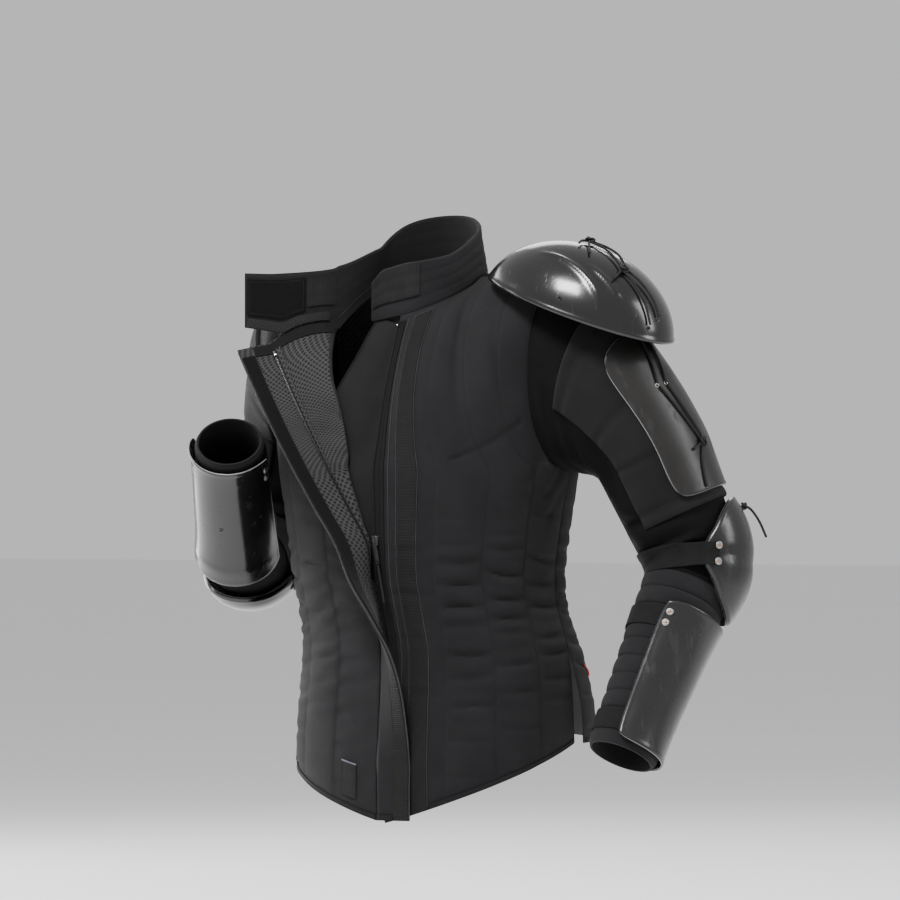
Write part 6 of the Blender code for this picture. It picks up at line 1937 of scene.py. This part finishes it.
# Topstitching
# Black thread, about three millimetres a stitch: down the quilting, round every strip, tab and label, along
# the hems and across the arm pads. The one thread is coloured darker in the quilting as painted shade in its
# grooves, and paler everywhere else as a painted shine.

# Painted shine and painted shade: the same black thread, paler for the trims and darker for the quilting
THREAD_WITH_PAINTED_SHINE = webbing("black thread", (0.0187, 0.0187, 0.0204), 0.0005, 0.5)
THREAD_IN_PAINTED_SHADE = webbing("sunk black thread", (0.0012, 0.0012, 0.0013), 0.0005, 0.8)


def stitched(name, seams, finish, pitch, size):
    """Stitches along seams: each is a lozenge of eight faces, longest along its line."""
    points, faces, count = [], [], 0
    pattern = np.array([(0, 2, 4), (2, 1, 4), (1, 3, 4), (3, 0, 4), (2, 0, 5), (1, 2, 5), (3, 1, 5),
                        (0, 3, 5)])
    for line, out in seams:
        at = evenly(line, pitch, pitch / 2)
        middles = smooth_rows(line, at)
        ways, outs = unit(smooth_rows(np.gradient(line, axis=0), at)), unit(smooth_rows(out, at))
        reaches = ways * size[0] / 2, np.cross(ways, outs) * size[1] / 2, -outs * size[2]
        corners = [middles + reach * sign for reach in reaches for sign in (-1, 1)]
        points.append(np.stack(corners, 1).reshape(-1, 3))
        faces.append((pattern[None] + 6 * np.arange(len(at))[:, None, None] + count).reshape(-1, 3))
        count += 6 * len(at)
    add_piece(name, np.concatenate(points), np.concatenate(faces), [finish], slot="sewn_tape", crease=80)


# The right front's stitch lines run at shares of its width that are the body's quarters
roll_lines = []
rows = np.linspace(0.3, TOP_ROW - 1.2, 90)
for value in (0.25, 0.5, 0.75):
    line = [np.interp(value, row[HALF_COLUMNS::-1], np.arange(HALF_COLUMNS, -1, -1)) for row in shares]
    columns = np.interp(rows, np.arange(len(line)), line)
    roll_lines.append((right_front.on(rows, columns), right_front.normal(rows, columns)))
quilt_ends = 0.3, TOP_ROW - 0.1
quilt_seams = up(left_front, quilt_ends, (4, 8, 12)) + roll_lines
quilt_seams += up(back, quilt_ends, range(4, 2 * HALF_COLUMNS, 4))
stitched("quilting_stitches", quilt_seams, THREAD_IN_PAINTED_SHADE, 0.0036, (0.0021, 0.0011, 0.0004))

on_tape = SEAT + TAPE + 0.0002
on_hem = SEAT + TAPE * 0.9
hem_middle = [(EDGE / 3 + HEM_SHARE) * 0.62]
fly_ends = 0.1, TOP_ROW - 0.4


def inset(ends, distance):
    return ends[0] + distance, ends[1] - distance


tab_rows, tab_columns = inset(TAB_PLACE[0], 0.16), inset(TAB_PLACE[1], 0.15)
patch_rows, patch_columns = inset(PATCH_PLACE[0], 0.16), (last - 4.45, last - 0.35)
trim_seams = (
    up(left_front, strip_ends, inset(HOOK_COLUMNS, 0.11), ZIP_SEAT + TAPE + 0.0002)
    + up(left_front, strip_ends, (hook_low - 0.16, hook_high + 0.17, 0.98), 0.0001)
    + up(right_front, fly_ends, inset(LOOP_COLUMNS, 0.13), on_tape, True)
    + up(right_front, fly_ends, inset(BAND_COLUMNS, 0.13), on_tape)
    + over(left_front, hem_middle, (HOOK_COLUMNS[1] + 0.2, HALF_COLUMNS - 0.2), on_hem)
    + over(right_front, hem_middle, (0.2, BAND_COLUMNS[0] - 0.2), on_hem)
    + over(back, hem_middle, (0.2, 2 * HALF_COLUMNS - 0.2), on_hem, count=160)
)
for row in (0.30, COLLAR_ROWS - 0.22):
    for inside in (False, True):
        trim_seams += over(collar, [row], (0.3, last - 0.3), 0.0002, inside, 160)
trim_seams += over(collar, tab_rows, tab_columns, on_tape)
trim_seams += up(collar, tab_rows, tab_columns, on_tape, count=30)
trim_seams += over(collar, patch_rows, patch_columns, on_tape, True)
trim_seams += up(collar, patch_rows, patch_columns, on_tape, True, 30)
trim_seams += over(right_front, inset(LABEL_ROWS, 0.05), inset(LABEL_COLUMNS, 0.07), on_tape, count=20)
for sleeve in sleeves.values():
    pad_end, pad_top = sleeve.elbow - 1, SEAT + PAD_WALL * 0.55
    # Rows, columns, lift and number of points
    for down, across, lift, count in (
        *((row, (CUP_TOP - 3.8, CUP_TOP + 3.8), pad_top, 100) for row in np.linspace(2.5, pad_end - 0.6, 4)),
        *(((2.1, pad_end - 0.1), column, pad_top, 100) for column in (CUP_TOP - 3.86, CUP_TOP + 3.86)),
        *((row, (0.0, AROUND), 0.0004, 300)
          for row in (sleeve.fore - 0.35, sleeve.fore + 0.45, sleeve.last - 0.5)),
    ):
        places = (np.linspace(*np.broadcast_to(ends, 2), count) for ends in (down, across))
        trim_seams.append(sleeve.on(*places, lift))
stitched("trim_stitches", trim_seams, THREAD_WITH_PAINTED_SHINE, 0.0031, (0.0023, 0.00080, 0.00042))
